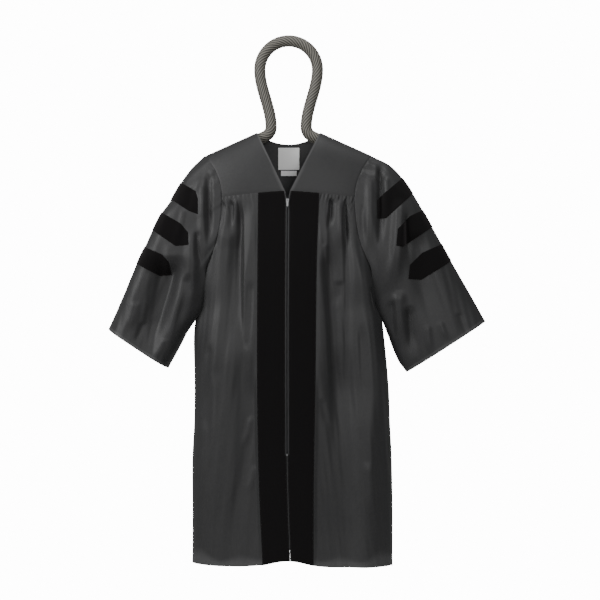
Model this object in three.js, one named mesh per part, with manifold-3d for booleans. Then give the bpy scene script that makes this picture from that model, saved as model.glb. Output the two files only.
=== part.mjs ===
// A doctoral graduation gown, open at neck, cuffs and hem, hung on a tube hanger.
// Millimetres, +Z up, front towards -Y. It is worked out with the hem at z = 0 and
// then lowered, so that its origin is the inner top of the hanger's loop.

import * as THREE from 'three'
import Module from 'manifold-3d'
import { mergeVertices } from 'three/addons/utils/BufferGeometryUtils.js'

const wasm = await Module()
wasm.setup()

// Cloth
const clothThickness = 1.6
const seamGap = 0.3
const layerGap = 0.3
const velvetThickness = 1.5
const sectionPower = 0.8
const sleevePower = 0.85

// Heights and widths of the seams
const underarmZ = 818
const yokeSeamZ = 1056
const yokeSeamRise = 17
const backSeamDrop = 6
const shoulderPoint = new THREE.Vector3(241, 0, 1180)
const neckPoint = new THREE.Vector3(92, 0, 1247)
const backNeckDepth = 49
const backNeckDrop = 29
const hemRise = 19
const hemRiseWidth = 70
const hemDrop = 3
const hemSlope = 0.012
const backHemSpread = 3
const underarmDip = 12
const underarmDipWidth = 0.04

// Zip
const stopZ = 319
const stopMargin = 14
const sliderZ = 1045
const openHalf = 2
const openHalfTop = 7
const closedHalf = 0.2
const foldedEdge = 4.5
const sewnEdge = 1.4

// Grid density
const rowsBelowStop = 4
const rowsAboveStop = 6
const rowsBesideArm = 7
const yokeRows = 6
const velvetColumns = 2
const frontColumns = 17
const shoulderColumns = 14
const neckColumns = 16
const sleeveRows = 13

// Level sections of the body: half width, half depth, and how far side and centre lean
const bodySections = [
  { z: 0, halfWidth: 291, halfDepth: 95, sideShift: 11, centreShift: 6 },
  { z: 150, halfWidth: 291, halfDepth: 94, sideShift: 11.5, centreShift: 0 },
  { z: 296, halfWidth: 290, halfDepth: 93, sideShift: 10, centreShift: -3.5 },
  { z: 412, halfWidth: 284.5, halfDepth: 92, sideShift: 10, centreShift: -4 },
  { z: 528, halfWidth: 281.5, halfDepth: 90.5, sideShift: 8, centreShift: -4.5 },
  { z: 644, halfWidth: 277, halfDepth: 89, sideShift: 1, centreShift: -4.5 },
  { z: 695, halfWidth: 272, halfDepth: 88, sideShift: 0, centreShift: -4.5 },
  { z: 745, halfWidth: 258, halfDepth: 87, sideShift: 0, centreShift: -4.5 },
  { z: 818, halfWidth: 265, halfDepth: 85.5, sideShift: 0, centreShift: -4 },
  { z: 919, halfWidth: 258, halfDepth: 81, sideShift: 0, centreShift: -3.5 },
  { z: 1000, halfWidth: 254, halfDepth: 74, sideShift: 0, centreShift: -3 },
  { z: 1056, halfWidth: 252, halfDepth: 70, sideShift: 0, centreShift: -3 },
  { z: 1080, halfWidth: 251, halfDepth: 69, sideShift: 0, centreShift: -3 }
]

// Outer edge of the velvet facings from the middle, on the wearer's right and left
const velvetEdges = [
  { z: 0, right: 73, left: 71 },
  { z: 238, right: 84, left: 72 },
  { z: 528, right: 89.5, left: 77 },
  { z: 876, right: 88.5, left: 81 },
  { z: 1080, right: 87, left: 88.5 }
]

// Sleeve sections from armhole to cuff: outer edge, under edge and half depth
const sleeveSections = {
  right: [
    { v: 0, topX: 240, topZ: 1180, underX: 265, underZ: 818, halfDepth: 60 },
    { v: 0.12, topX: 285, topZ: 1138, underX: 273, underZ: 790, halfDepth: 67 },
    { v: 0.25, topX: 326, topZ: 1080, underX: 275, underZ: 762, halfDepth: 73 },
    { v: 0.45, topX: 382, topZ: 975, underX: 279, underZ: 716, halfDepth: 78 },
    { v: 0.65, topX: 436, topZ: 865, underX: 297, underZ: 663, halfDepth: 81 },
    { v: 0.85, topX: 486, topZ: 757, underX: 325, underZ: 607, halfDepth: 84 },
    { v: 1, topX: 523, topZ: 676, underX: 350, underZ: 563, halfDepth: 85 }
  ],
  left: [
    { v: 0, topX: 240, topZ: 1180, underX: 265, underZ: 818, halfDepth: 60 },
    { v: 0.12, topX: 297, topZ: 1150, underX: 273, underZ: 785, halfDepth: 65 },
    { v: 0.25, topX: 345, topZ: 1095, underX: 275, underZ: 755, halfDepth: 66 },
    { v: 0.45, topX: 405, topZ: 995, underX: 279, underZ: 712, halfDepth: 60 },
    { v: 0.65, topX: 466, topZ: 885, underX: 290, underZ: 655, halfDepth: 53 },
    { v: 0.85, topX: 527, topZ: 779, underX: 318, underZ: 585, halfDepth: 48 },
    { v: 1, topX: 572, topZ: 698, underX: 343, underZ: 551, halfDepth: 46 }
  ]
}
const armholeBlend = 0.35

// How a fold's height rises from its top and runs out at its low end, as shares of its
// length, how far it widens, and how far from a side seam or cuff edge it fades
const foldRise = 0.16
const foldRunOut = 0.3
const foldWidening = 0.5
const sideFade = 0.12
const velvetFade = 10
const sleeveSeamFade = 0.12
const sleeveEdgeFade = 0.35

// Folds. Each runs from a top to a low height with its middle pulled aside,
// stands out by its height, and dips where the height is negative
const frontFolds = {
  right: [
    { topX: 135, topZ: 1053, midX: 158, lowX: 206, lowZ: 690, halfWidth: 15, height: -9 },
    { topX: 106, topZ: 1053, midX: 107, lowX: 109, lowZ: 400, halfWidth: 17, height: 6 },
    { topX: 162, topZ: 1050, midX: 165, lowX: 172, lowZ: 930, halfWidth: 11, height: -4 },
    { topX: 178, topZ: 1040, midX: 196, lowX: 262, lowZ: 400, halfWidth: 19, height: 7 },
    { topX: 180, topZ: 720, midX: 185, lowX: 192, lowZ: -200, halfWidth: 42, height: 9 },
    { topX: 134, topZ: 680, midX: 134, lowX: 190, lowZ: -100, halfWidth: 22, height: -7 }
  ],
  left: [
    { topX: 98, topZ: 1053, midX: 98, lowX: 117, lowZ: 270, halfWidth: 17, height: 6 },
    { topX: 103, topZ: 940, midX: 133, lowX: 146, lowZ: 280, halfWidth: 20, height: -8 },
    { topX: 164, topZ: 1052, midX: 172, lowX: 172, lowZ: 330, halfWidth: 14, height: -7 },
    { topX: 147, topZ: 1050, midX: 149, lowX: 150, lowZ: 900, halfWidth: 11, height: 4 },
    { topX: 190, topZ: 940, midX: 240, lowX: 226, lowZ: 120, halfWidth: 24, height: 9 },
    { topX: 190, topZ: 420, midX: 184, lowX: 180, lowZ: -200, halfWidth: 34, height: 5 }
  ]
}
const sleeveFolds = {
  right: [
    { topX: 228, topZ: 1140, midX: 226, lowX: 228, lowZ: 930, halfWidth: 10, height: -6 },
    { topX: 246, topZ: 1120, midX: 246, lowX: 236, lowZ: 870, halfWidth: 11, height: 5 },
    { topX: 275, topZ: 985, midX: 294, lowX: 352, lowZ: 600, halfWidth: 17, height: 8 },
    { topX: 290, topZ: 840, midX: 304, lowX: 326, lowZ: 660, halfWidth: 11, height: -5 },
    { topX: 318, topZ: 1060, midX: 405, lowX: 490, lowZ: 680, halfWidth: 30, height: 6 },
    { topX: 384, topZ: 810, midX: 396, lowX: 412, lowZ: 610, halfWidth: 28, height: -8 }
  ],
  left: [
    { topX: 232, topZ: 1150, midX: 230, lowX: 233, lowZ: 870, halfWidth: 12, height: 6 },
    { topX: 264, topZ: 1160, midX: 264, lowX: 262, lowZ: 880, halfWidth: 11, height: -7 },
    { topX: 314, topZ: 1050, midX: 312, lowX: 294, lowZ: 780, halfWidth: 17, height: 9 },
    { topX: 318, topZ: 790, midX: 320, lowX: 330, lowZ: 620, halfWidth: 16, height: 7 },
    { topX: 345, topZ: 740, midX: 350, lowX: 362, lowZ: 600, halfWidth: 15, height: -7 },
    { topX: 372, topZ: 960, midX: 388, lowX: 430, lowZ: 660, halfWidth: 26, height: -5 }
  ]
}

// Flutes of the back panel, set out from the middle: how uneven they are is in the table
const backFlutes = [
  { x: -176, low: 300, halfWidth: 13, height: 7 },
  { x: -147, low: 520, halfWidth: 12, height: 6 },
  { x: -117, low: 60, halfWidth: 14, height: 8 },
  { x: -90, low: 430, halfWidth: 11, height: 6 },
  { x: -64, low: 610, halfWidth: 11, height: 7 },
  { x: -37, low: 180, halfWidth: 13, height: 8 },
  { x: -10, low: 380, halfWidth: 12, height: 7 },
  { x: 18, low: 90, halfWidth: 14, height: 8 },
  { x: 47, low: 560, halfWidth: 11, height: 6 },
  { x: 73, low: 340, halfWidth: 12, height: 7 },
  { x: 101, low: 130, halfWidth: 13, height: 8 },
  { x: 128, low: 470, halfWidth: 11, height: 6 },
  { x: 154, low: 250, halfWidth: 13, height: 7 },
  { x: 180, low: 400, halfWidth: 12, height: 6 }
]
const fluteSpread = 1.35

// Velvet bars: where each crosses the sleeve's outer edge, and where its point lies
const barWidth = 57
const barOverhang = 60
const barPrismDepth = 240
const sleeveBars = {
  right: [
    { edgeX: 326, edgeZ: 1077, tipX: 259, tipZ: 1012 },
    { edgeX: 375, edgeZ: 982, tipX: 286, tipZ: 918 },
    { edgeX: 420, edgeZ: 891, tipX: 336, tipZ: 829 }
  ],
  left: [
    { edgeX: 344, edgeZ: 1091, tipX: 255, tipZ: 995 },
    { edgeX: 401, edgeZ: 995, tipX: 307, tipZ: 915 },
    { edgeX: 454, edgeZ: 899, tipX: 343, tipZ: 819 }
  ]
}

// Hanger
const tubeRadius = 17
const tubeSides = 12
const tubeBelowSeam = 21.5
const tubeTipX = 205
const tubeNeckX = 51
const tubeBendRadius = 30
const loopRadius = 84
const loopCentreZ = 1430

const finishes = {
  satin: { color: 0x3b3b3b, roughness: 0.5, metalness: 0 },
  velvet: { color: 0x110f10, roughness: 0.95, metalness: 0 },
  tape: { color: 0x1a1a1b, roughness: 0.9, metalness: 0 },
  teeth: { color: 0x24242a, roughness: 0.45, metalness: 0 },
  zipMetal: { color: 0xc9c9cc, roughness: 0.3, metalness: 1 },
  label: { color: 0xf2f2f0, roughness: 0.8, metalness: 0 },
  tube: { color: 0x8d8d8f, roughness: 0.55, metalness: 0 }
}

const clamp = THREE.MathUtils.clamp
const lerp = THREE.MathUtils.lerp
const smooth = (t) => THREE.MathUtils.smoothstep(t, 0, 1)
const sideSign = { right: -1, left: 1 }
const range = (count) => Array.from({ length: count }, (_, i) => i)

// Reads a table at one value of its key, with a smooth curve through its rows
function readTable (rows, key, value) {
  const last = rows.length - 1
  const above = rows.findIndex((row) => row[key] > value)
  const i = above < 0 ? last - 1 : clamp(above - 1, 0, last - 1)
  const span = rows[i + 1][key] - rows[i][key]
  const t = clamp((value - rows[i][key]) / span, 0, 1)
  const slope = (k, column) => {
    const before = rows[Math.max(k - 1, 0)]
    const after = rows[Math.min(k + 1, last)]
    return (after[column] - before[column]) / (after[key] - before[key])
  }
  const result = {}
  for (const column of Object.keys(rows[0])) {
    const a = rows[i][column]
    const b = rows[i + 1][column]
    const bend = t * t * (3 - 2 * t)
    const leave = t * (1 - t) * (1 - t) * span * slope(i, column)
    const arrive = t * t * (t - 1) * span * slope(i + 1, column)
    result[column] = lerp(a, b, bend) + leave + arrive
  }
  return result
}

// How far one fold stands out at a place seen from the front or the back
function foldHeight (fold, x, z) {
  const s = (fold.topZ - z) / (fold.topZ - fold.lowZ)
  if (s <= 0 || s >= 1) return 0
  const bow = 4 * s * (1 - s) * (fold.midX - (fold.topX + fold.lowX) / 2)
  const centre = lerp(fold.topX, fold.lowX, s) + bow
  const across = (x - centre) / (fold.halfWidth * (1 + foldWidening * s))
  const ends = smooth(s / foldRise) * smooth((1 - s) / foldRunOut)
  return fold.height * ends * Math.exp(-across * across)
}

function foldSum (folds, x, z) {
  return folds.reduce((sum, fold) => sum + foldHeight(fold, x, z), 0)
}

// The back's flutes spread out as they run down from the yoke
const backFolds = backFlutes.map((flute) => ({
  topX: flute.x,
  topZ: yokeSeamZ - backSeamDrop,
  midX: flute.x * (1 + fluteSpread) / 2,
  lowX: flute.x * fluteSpread,
  lowZ: flute.low - 200,
  halfWidth: flute.halfWidth,
  height: flute.height
}))

// Body surface. q runs from 0 in the middle of the front or back to 1 at the side seam
function sectionPoint (z, q, sign, face) {
  const section = readTable(bodySections, 'z', z)
  const angle = q * Math.PI / 2
  const s = Math.sin(angle) ** sectionPower
  const c = Math.max(Math.cos(angle), 0) ** sectionPower
  const shift = lerp(section.centreShift, section.sideShift, s)
  return new THREE.Vector3(sign * section.halfWidth * s + shift, face * section.halfDepth * c, z)
}

// Level outward direction of the body at the same place
function sectionNormal (z, q, sign, face) {
  const section = readTable(bodySections, 'z', z)
  const angle = q * Math.PI / 2
  const power = 2 - sectionPower
  const nx = Math.sin(angle) ** power / section.halfWidth
  const ny = Math.max(Math.cos(angle), 0) ** power / section.halfDepth
  return new THREE.Vector3(sign * nx, face * ny, 0).normalize()
}

// q of a place x mm from the middle, as it is seen from the front
function sectionQ (z, x, sign) {
  const section = readTable(bodySections, 'z', z)
  const reach = sign * section.halfWidth + section.sideShift - section.centreShift
  const s = clamp((x - section.centreShift) / reach, 0, 1)
  return Math.asin(s ** (1 / sectionPower)) * 2 / Math.PI
}

function bodyPoint (z, q, sign, face) {
  const point = sectionPoint(z, q, sign, face)
  const side = sign < 0 ? 'right' : 'left'
  const outline = smooth((1 - q) / sideFade)
  let height = 0
  if (face < 0) {
    const fromVelvet = Math.abs(point.x) - readTable(velvetEdges, 'z', z)[side]
    height = foldSum(frontFolds[side], Math.abs(point.x), z) * smooth(fromVelvet / velvetFade)
  } else {
    height = foldSum(backFolds, point.x, z)
  }
  return point.addScaledVector(sectionNormal(z, q, sign, face), height * outline)
}

// The armhole's edge on the body panels: height and q, from underarm (0) to yoke (1)
function armholeEdge (t) {
  const angle = t * Math.PI / 2
  const down = Math.max(Math.cos(angle), 0) ** sectionPower
  const z = underarmZ + (yokeSeamZ - underarmZ) * (1 - down)
  return { z, q: 1 - 0.5 * Math.sin(angle) ** sectionPower }
}

// The armhole's edge on the yokes, from the yoke's corner (0) to the shoulder point (1)
function armholeTop (t, sign, face) {
  const angle = t * Math.PI / 2
  const corner = bodyPoint(yokeSeamZ, 0.5, sign, face)
  const rise = Math.sin(angle)
  const x = lerp(corner.x, sign * shoulderPoint.x, rise * rise)
  const y = corner.y * yokeDepth(t, 0)
  return new THREE.Vector3(x, y, lerp(yokeSeamZ, shoulderPoint.z, rise))
}

// Rows of a body panel from hem to yoke, each with its height and its outer q
const panelRows = [
  ...range(rowsBelowStop + 1).map((i) => ({ z: (stopZ - stopMargin) * i / rowsBelowStop, q: 1 })),
  ...range(rowsAboveStop).map((i) => ({ z: lerp(stopZ, underarmZ, i / rowsAboveStop), q: 1 })),
  ...range(rowsBesideArm + 1).map((i) => armholeEdge(i / rowsBesideArm))
]
const rowsBelowArm = rowsBelowStop + 1 + rowsAboveStop

function hemLift (x) {
  return hemRise * Math.exp(-((x / hemRiseWidth) ** 2)) - hemDrop - hemSlope * x
}

// Height of a place on a row: the hem's curve fades upwards, the yoke seam's downwards
function rowHeight (row, q, x, seamRise) {
  const up = row.z / underarmZ
  if (up < 1) return row.z + hemLift(x) * (1 - up) ** 4
  const along = (row.z - underarmZ) / (yokeSeamZ - underarmZ)
  if (along === 0) return row.z - underarmDip * clamp((1 - q) / underarmDipWidth, 0, 1)
  return row.z + seamRise * along * (1 - q / row.q)
}

// Half the gap between the front edges: sewn shut under the stop, a small V at the top
function frontGap (z) {
  if (z < stopZ) return closedHalf
  const seamTopZ = yokeSeamZ + yokeSeamRise
  return lerp(openHalf, openHalfTop, clamp((z - sliderZ) / (seamTopZ - sliderZ), 0, 1))
}

function frontPanelGrid (side) {
  const sign = sideSign[side]
  return panelRows.map((row) => {
    const centreZ = rowHeight(row, 0, 0, yokeSeamRise)
    const centre = readTable(bodySections, 'z', centreZ).centreShift
    const gap = frontGap(row.z < stopZ ? row.z : centreZ)
    const lip = row.z < stopZ ? sewnEdge : foldedEdge
    const velvetX = sign * readTable(velvetEdges, 'z', centreZ)[side]
    const qEdge = sectionQ(centreZ, centre + sign * gap, sign)
    const qLip = sectionQ(centreZ, centre + sign * (gap + lip), sign)
    const qVelvet = sectionQ(centreZ, velvetX, sign)
    const columns = [
      qEdge,
      ...range(velvetColumns + 1).map((j) => lerp(qLip, qVelvet, j / velvetColumns)),
      ...range(frontColumns).map((j) => lerp(qVelvet, row.q, (j + 1) / frontColumns))
    ]
    return columns.map((q) => {
      const x = sectionPoint(row.z, q, sign, -1).x
      return bodyPoint(rowHeight(row, q, x, yokeSeamRise), q, sign, -1)
    })
  })
}

const backColumns = 2 * shoulderColumns + neckColumns

function backPanelGrid () {
  return panelRows.map((row) => range(backColumns + 1).map((j) => {
    const across = 2 * j / backColumns - 1
    const sign = across < 0 ? -1 : 1
    const q = Math.abs(across) * row.q
    const x = sectionPoint(row.z, q, sign, 1).x
    return bodyPoint(rowHeight(row, q, x * backHemSpread, -backSeamDrop), q, sign, 1)
  }))
}

// How much of its depth a yoke keeps on its way up: it turns over roundly at the
// shoulder, and runs straighter where its top edge already stands back at the neck
function yokeDepth (t, topY) {
  const angle = t * Math.PI / 2
  const turned = Math.max(Math.cos(angle), 0) ** 0.9
  return lerp(turned, 1 - Math.sin(angle), topY / backNeckDepth)
}

// A yoke: a patch between its seam with the panel, its top edge and its two sides
function patchGrid (bottom, top, sideA, sideB) {
  const last = bottom.length - 1
  return yokeSteps.map((t, i) => bottom.map((_, j) => {
    const u = j / last
    const h = yokeHeights[i]
    const along = bottom[j].clone().lerp(top[j], h)
    const across = sideA[i].clone().lerp(sideB[i], u)
    const low = bottom[0].clone().lerp(bottom[last], u)
    const high = top[0].clone().lerp(top[last], u)
    const point = along.add(across).sub(low.lerp(high, h))
    point.y = lerp(top[j].y, bottom[j].y, yokeDepth(t, top[j].y))
    return point
  }))
}

// Yoke rows bunch towards the shoulder, where the cloth turns over the hanger
const yokeSteps = range(yokeRows + 1).map((i) => i / yokeRows)
const yokeHeights = yokeSteps.map((t) => Math.sin(t * Math.PI / 2))

function shoulderSeam (sign, count) {
  const from = new THREE.Vector3(sign * neckPoint.x, neckPoint.y, neckPoint.z)
  const to = new THREE.Vector3(sign * shoulderPoint.x, shoulderPoint.y, shoulderPoint.z)
  return range(count + 1).map((j) => from.clone().lerp(to, j / count))
}

function frontYokeGrid (side, panel) {
  const sign = sideSign[side]
  const bottom = panel[panel.length - 1]
  const top = shoulderSeam(sign, bottom.length - 1)
  const neckEdge = yokeSteps.map((t, i) => {
    const point = bottom[0].clone().lerp(top[0], yokeHeights[i])
    point.y = bottom[0].y * yokeDepth(t, 0)
    return point
  })
  const armEdge = yokeSteps.map((t) => armholeTop(t, sign, -1))
  return patchGrid(bottom, top, neckEdge, armEdge)
}

function backYokeGrid (panel) {
  const bottom = panel[panel.length - 1]
  const neck = range(neckColumns + 1).map((j) => {
    const angle = Math.PI * (1 - j / neckColumns)
    const x = neckPoint.x * Math.cos(angle)
    const depth = Math.sin(angle)
    return new THREE.Vector3(x, backNeckDepth * depth ** 0.8, neckPoint.z - backNeckDrop * depth * depth)
  })
  const top = [
    ...shoulderSeam(-1, shoulderColumns).reverse().slice(0, -1),
    ...neck,
    ...shoulderSeam(1, shoulderColumns).slice(1)
  ]
  const sides = [-1, 1].map((sign) => yokeSteps.map((t) => armholeTop(t, sign, 1)))
  return patchGrid(bottom, top, sides[0], sides[1])
}

// One round of the armhole, from the underarm up the front and down the back
function armholeRing (sign) {
  const half = (face) => [
    ...range(rowsBesideArm).map((i) => {
      const edge = armholeEdge(i / rowsBesideArm)
      return bodyPoint(edge.z, edge.q, sign, face)
    }),
    ...yokeSteps.map((t) => armholeTop(t, sign, face))
  ]
  return [...half(-1), ...half(1).slice(1, -1).reverse()]
}

// Angles round the sleeve that match the armhole's points by their length along it
function ringAngles (ring) {
  const half = ring.length / 2
  const lengths = [0]
  for (let k = 1; k <= half; k++) lengths.push(lengths[k - 1] + ring[k].distanceTo(ring[k - 1]))
  const front = lengths.map((length) => Math.PI * length / lengths[half])
  return [...front, ...front.slice(1, -1).reverse().map((angle) => 2 * Math.PI - angle)]
}

function sleevePoint (side, v, angle) {
  const section = readTable(sleeveSections[side], 'v', v)
  const c = Math.cos(angle)
  const s = Math.sin(angle)
  const up = (1 - Math.sign(c) * Math.abs(c) ** sleevePower) / 2
  const x = lerp(section.underX, section.topX, up)
  const z = lerp(section.underZ, section.topZ, up)
  const y = -section.halfDepth * Math.sign(s) * Math.abs(s) ** sleevePower
  return new THREE.Vector3(sideSign[side] * x, y, z)
}

function sleeveGrid (side) {
  const sign = sideSign[side]
  const ring = armholeRing(sign)
  const angles = ringAngles(ring)
  const plain = range(sleeveRows + 1).map((i) => angles.map((angle, k) => {
    const v = i / sleeveRows
    const blend = 1 - smooth(v / armholeBlend)
    const offset = ring[k].clone().sub(sleevePoint(side, 0, angle))
    return sleevePoint(side, v, angle).addScaledVector(offset, blend)
  }))
  const normals = gridNormals(plain, true)
  return plain.map((row, i) => row.map((point, k) => {
    const height = foldSum(sleeveFolds[side], Math.abs(point.x), point.z)
    const seam = smooth(i / sleeveRows / sleeveSeamFade)
    const edge = smooth(Math.abs(Math.sin(angles[k])) / sleeveEdgeFade)
    return point.clone().addScaledVector(normals[i][k], height * seam * edge)
  }))
}

// Outward directions at a grid's points. A round grid closes on itself along its rows
function gridNormals (grid, round) {
  const rows = grid.length
  const columns = grid[0].length
  const pick = (i, j) => grid[i][round ? (j + columns) % columns : clamp(j, 0, columns - 1)]
  const normals = grid.map((row, i) => row.map((_, j) => {
    const along = pick(Math.min(i + 1, rows - 1), j).clone().sub(pick(Math.max(i - 1, 0), j))
    const across = pick(i, j + 1).clone().sub(pick(i, j - 1))
    return across.cross(along).normalize()
  }))
  let outward = 0
  grid.forEach((row, i) => {
    const middle = new THREE.Vector3(0, 0, 0)
    if (round) row.forEach((point) => middle.addScaledVector(point, 1 / columns))
    row.forEach((point, j) => {
      const away = point.clone().sub(middle)
      if (!round) away.z = 0
      outward += Math.sign(away.dot(normals[i][j]))
    })
  })
  if (outward < 0) normals.forEach((row) => row.forEach((normal) => normal.negate()))
  return normals
}

// A piece of cloth: its grid, its outward directions and the seams that trim its edges
function makeCloth (grid, round = false) {
  return {
    grid,
    round,
    normals: gridNormals(grid, round),
    trims: grid.map((row) => row.map(() => []))
  }
}

// Directions along a row of places on a cloth's edge
function tangents (points) {
  return points.map((_, k) => {
    const after = points[Math.min(k + 1, points.length - 1)]
    const before = points[Math.max(k - 1, 0)]
    return after.clone().sub(before).normalize()
  })
}

// From each place on an edge, the direction along the cloth into the piece
function inwardDirections (cloth, places, inner) {
  const edge = tangents(places.map(([i, j]) => cloth.grid[i][j]))
  const directions = places.map(([i, j], k) => cloth.normals[i][j].clone().cross(edge[k]).normalize())
  let inside = 0
  places.forEach(([i, j], k) => {
    const [a, b] = inner[k]
    inside += directions[k].dot(cloth.grid[a][b].clone().sub(cloth.grid[i][j]))
  })
  if (inside < 0) directions.forEach((direction) => direction.negate())
  return directions
}

// Parts two pieces that share a seam: each is trimmed back from the plane between them,
// which tilts a little with the cloth where the two run on in line
const seamTilt = 0.05
const leastSlide = 0.3

function joinSeam (a, placesA, innerA, b, placesB, innerB) {
  const intoA = inwardDirections(a, placesA, innerA)
  const intoB = inwardDirections(b, placesB, innerB)
  placesA.forEach(([i, j], k) => {
    const [m, n] = placesB[k]
    const between = intoB[k].clone().sub(intoA[k])
    between.addScaledVector(a.normals[i][j], seamTilt).addScaledVector(b.normals[m][n], -seamTilt)
    between.normalize()
    a.trims[i][j].push({ away: between.clone(), into: intoA[k] })
    b.trims[m][n].push({ away: between.clone().negate(), into: intoB[k] })
  })
}

// The outer and inner points of a cloth's wall, from its own surface
function wallPoints (cloth) {
  const outer = cloth.grid.map((row, i) => row.map((point, j) => {
    const moved = point.clone()
    cloth.trims[i][j].forEach((trim) => moved.addScaledVector(trim.away, -seamGap / 2))
    return moved
  }))
  const inner = outer.map((row, i) => row.map((point, j) => {
    const sunk = point.clone().addScaledVector(cloth.normals[i][j], -clothThickness)
    cloth.trims[i][j].forEach((trim) => {
      const past = sunk.clone().sub(point).dot(trim.away)
      const slide = Math.max(-trim.away.dot(trim.into), leastSlide)
      if (past > 0) sunk.addScaledVector(trim.into, past / slide)
    })
    return sunk
  }))
  return { outer, inner }
}

// A closed wall between two grids of points
function wallGeometry (outer, inner, round = false) {
  const rows = outer.length
  const columns = outer[0].length
  const points = [...outer.flat(), ...inner.flat()]
  const index = (layer, i, j) => layer * rows * columns + i * columns + (j % columns)
  const faces = []
  const quad = (a, b, c, d) => faces.push(a, b, c, a, c, d)
  const spans = round ? columns : columns - 1
  for (let i = 0; i < rows - 1; i++) {
    for (let j = 0; j < spans; j++) {
      quad(index(0, i, j), index(0, i, j + 1), index(0, i + 1, j + 1), index(0, i + 1, j))
      quad(index(1, i, j), index(1, i + 1, j), index(1, i + 1, j + 1), index(1, i, j + 1))
    }
  }
  for (let j = 0; j < spans; j++) {
    const top = rows - 1
    quad(index(0, 0, j), index(1, 0, j), index(1, 0, j + 1), index(0, 0, j + 1))
    quad(index(0, top, j), index(0, top, j + 1), index(1, top, j + 1), index(1, top, j))
  }
  if (!round) {
    const end = columns - 1
    for (let i = 0; i < rows - 1; i++) {
      quad(index(0, i, 0), index(0, i + 1, 0), index(1, i + 1, 0), index(1, i, 0))
      quad(index(0, i, end), index(1, i, end), index(1, i + 1, end), index(0, i + 1, end))
    }
  }
  return closedGeometry(points, faces)
}

// A geometry from points and faces, turned so that its faces point out
function closedGeometry (points, faces) {
  let volume = 0
  for (let f = 0; f < faces.length; f += 3) {
    const [a, b, c] = [points[faces[f]], points[faces[f + 1]], points[faces[f + 2]]]
    volume += a.dot(b.clone().cross(c))
  }
  if (volume < 0) faces.reverse()
  const geometry = new THREE.BufferGeometry()
  const places = points.flatMap((p) => [p.x, p.y, p.z])
  geometry.setAttribute('position', new THREE.Float32BufferAttribute(places, 3))
  geometry.setIndex(faces)
  return geometry
}

const group = new THREE.Group()

function addPiece (name, geometry, finish) {
  const flat = geometry.toNonIndexed()
  flat.computeVertexNormals()
  const mesh = new THREE.Mesh(flat, new THREE.MeshStandardMaterial(finishes[finish]))
  mesh.name = name
  group.add(mesh)
}

function addCloth (name, cloth, finish) {
  const { outer, inner } = wallPoints(cloth)
  addPiece(name, wallGeometry(outer, inner, cloth.round), finish)
}

// A layer that lies on a cloth: its own grid moved out by a gap, then by a thickness
function layerOn (points, normals, gap, thickness, round = false) {
  const moved = (distance) => points.map((row, i) => row.map((point, j) => (
    point.clone().addScaledVector(normals[i][j], distance)
  )))
  return wallGeometry(moved(gap + thickness), moved(gap), round)
}

// Solids to cut and join
function toSolid (geometry) {
  const bare = geometry.clone()
  bare.deleteAttribute('normal')
  bare.deleteAttribute('uv')
  const merged = mergeVertices(bare, 1e-4)
  const vertProperties = new Float32Array(merged.attributes.position.array)
  const triVerts = new Uint32Array(merged.index.array)
  return new wasm.Manifold(new wasm.Mesh({ numProp: 3, vertProperties, triVerts }))
}

function fromSolid (solid) {
  const { vertProperties, triVerts, numProp } = solid.getMesh()
  const geometry = new THREE.BufferGeometry()
  geometry.setAttribute('position', new THREE.BufferAttribute(new Float32Array(vertProperties), numProp))
  geometry.setIndex(Array.from(triVerts))
  return geometry
}

function box (low, high) {
  const size = high.map((value, k) => value - low[k])
  const middle = high.map((value, k) => (value + low[k]) / 2)
  return new THREE.BoxGeometry(...size).translate(...middle)
}

// Body and sleeves
const sides = ['right', 'left']
const frontPanels = {}
const frontYokes = {}
const sleeves = {}
for (const side of sides) {
  frontPanels[side] = makeCloth(frontPanelGrid(side))
  frontYokes[side] = makeCloth(frontYokeGrid(side, frontPanels[side].grid))
  sleeves[side] = makeCloth(sleeveGrid(side), true)
}
const backPanel = makeCloth(backPanelGrid())
const backYoke = makeCloth(backYokeGrid(backPanel.grid))

const topRow = panelRows.length - 1
const lastFront = frontPanels.left.grid[0].length - 1
const backEdge = { right: 0, left: backColumns }
const backInner = { right: 1, left: backColumns - 1 }

for (const side of sides) {
  const sideRows = range(rowsBelowArm + 1)
  joinSeam(
    frontPanels[side], sideRows.map((i) => [i, lastFront]), sideRows.map((i) => [i, lastFront - 1]),
    backPanel, sideRows.map((i) => [i, backEdge[side]]), sideRows.map((i) => [i, backInner[side]])
  )
  const frontSeam = range(lastFront + 1)
  joinSeam(
    frontPanels[side], frontSeam.map((j) => [topRow, j]), frontSeam.map((j) => [topRow - 1, j]),
    frontYokes[side], frontSeam.map((j) => [0, j]), frontSeam.map((j) => [1, j])
  )
  const count = sleeves[side].grid[0].length
  const ringFront = (i) => i
  const ringBack = (i) => (count - i) % count
  const frontEdges = [lastFront, lastFront - 1]
  const backEdges = [backEdge[side], backInner[side]]
  const panelArm = { rows: range(rowsBesideArm + 1), base: rowsBelowArm, first: 0 }
  const yokeArm = { rows: range(yokeRows + 1), base: 0, first: rowsBesideArm }
  const bodies = [
    { cloth: frontPanels[side], edges: frontEdges, arm: panelArm, ring: ringFront },
    { cloth: frontYokes[side], edges: frontEdges, arm: yokeArm, ring: ringFront },
    { cloth: backPanel, edges: backEdges, arm: panelArm, ring: ringBack },
    { cloth: backYoke, edges: backEdges, arm: yokeArm, ring: ringBack }
  ]
  for (const { cloth, edges, arm, ring } of bodies) {
    const onBody = (edge) => arm.rows.map((i) => [arm.base + i, edge])
    const onSleeve = (row) => arm.rows.map((i) => [row, ring(arm.first + i)])
    joinSeam(cloth, onBody(edges[0]), onBody(edges[1]), sleeves[side], onSleeve(0), onSleeve(1))
  }
}
const backSeam = range(backColumns + 1)
joinSeam(
  backPanel, backSeam.map((j) => [topRow, j]), backSeam.map((j) => [topRow - 1, j]),
  backYoke, backSeam.map((j) => [0, j]), backSeam.map((j) => [1, j])
)

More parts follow.
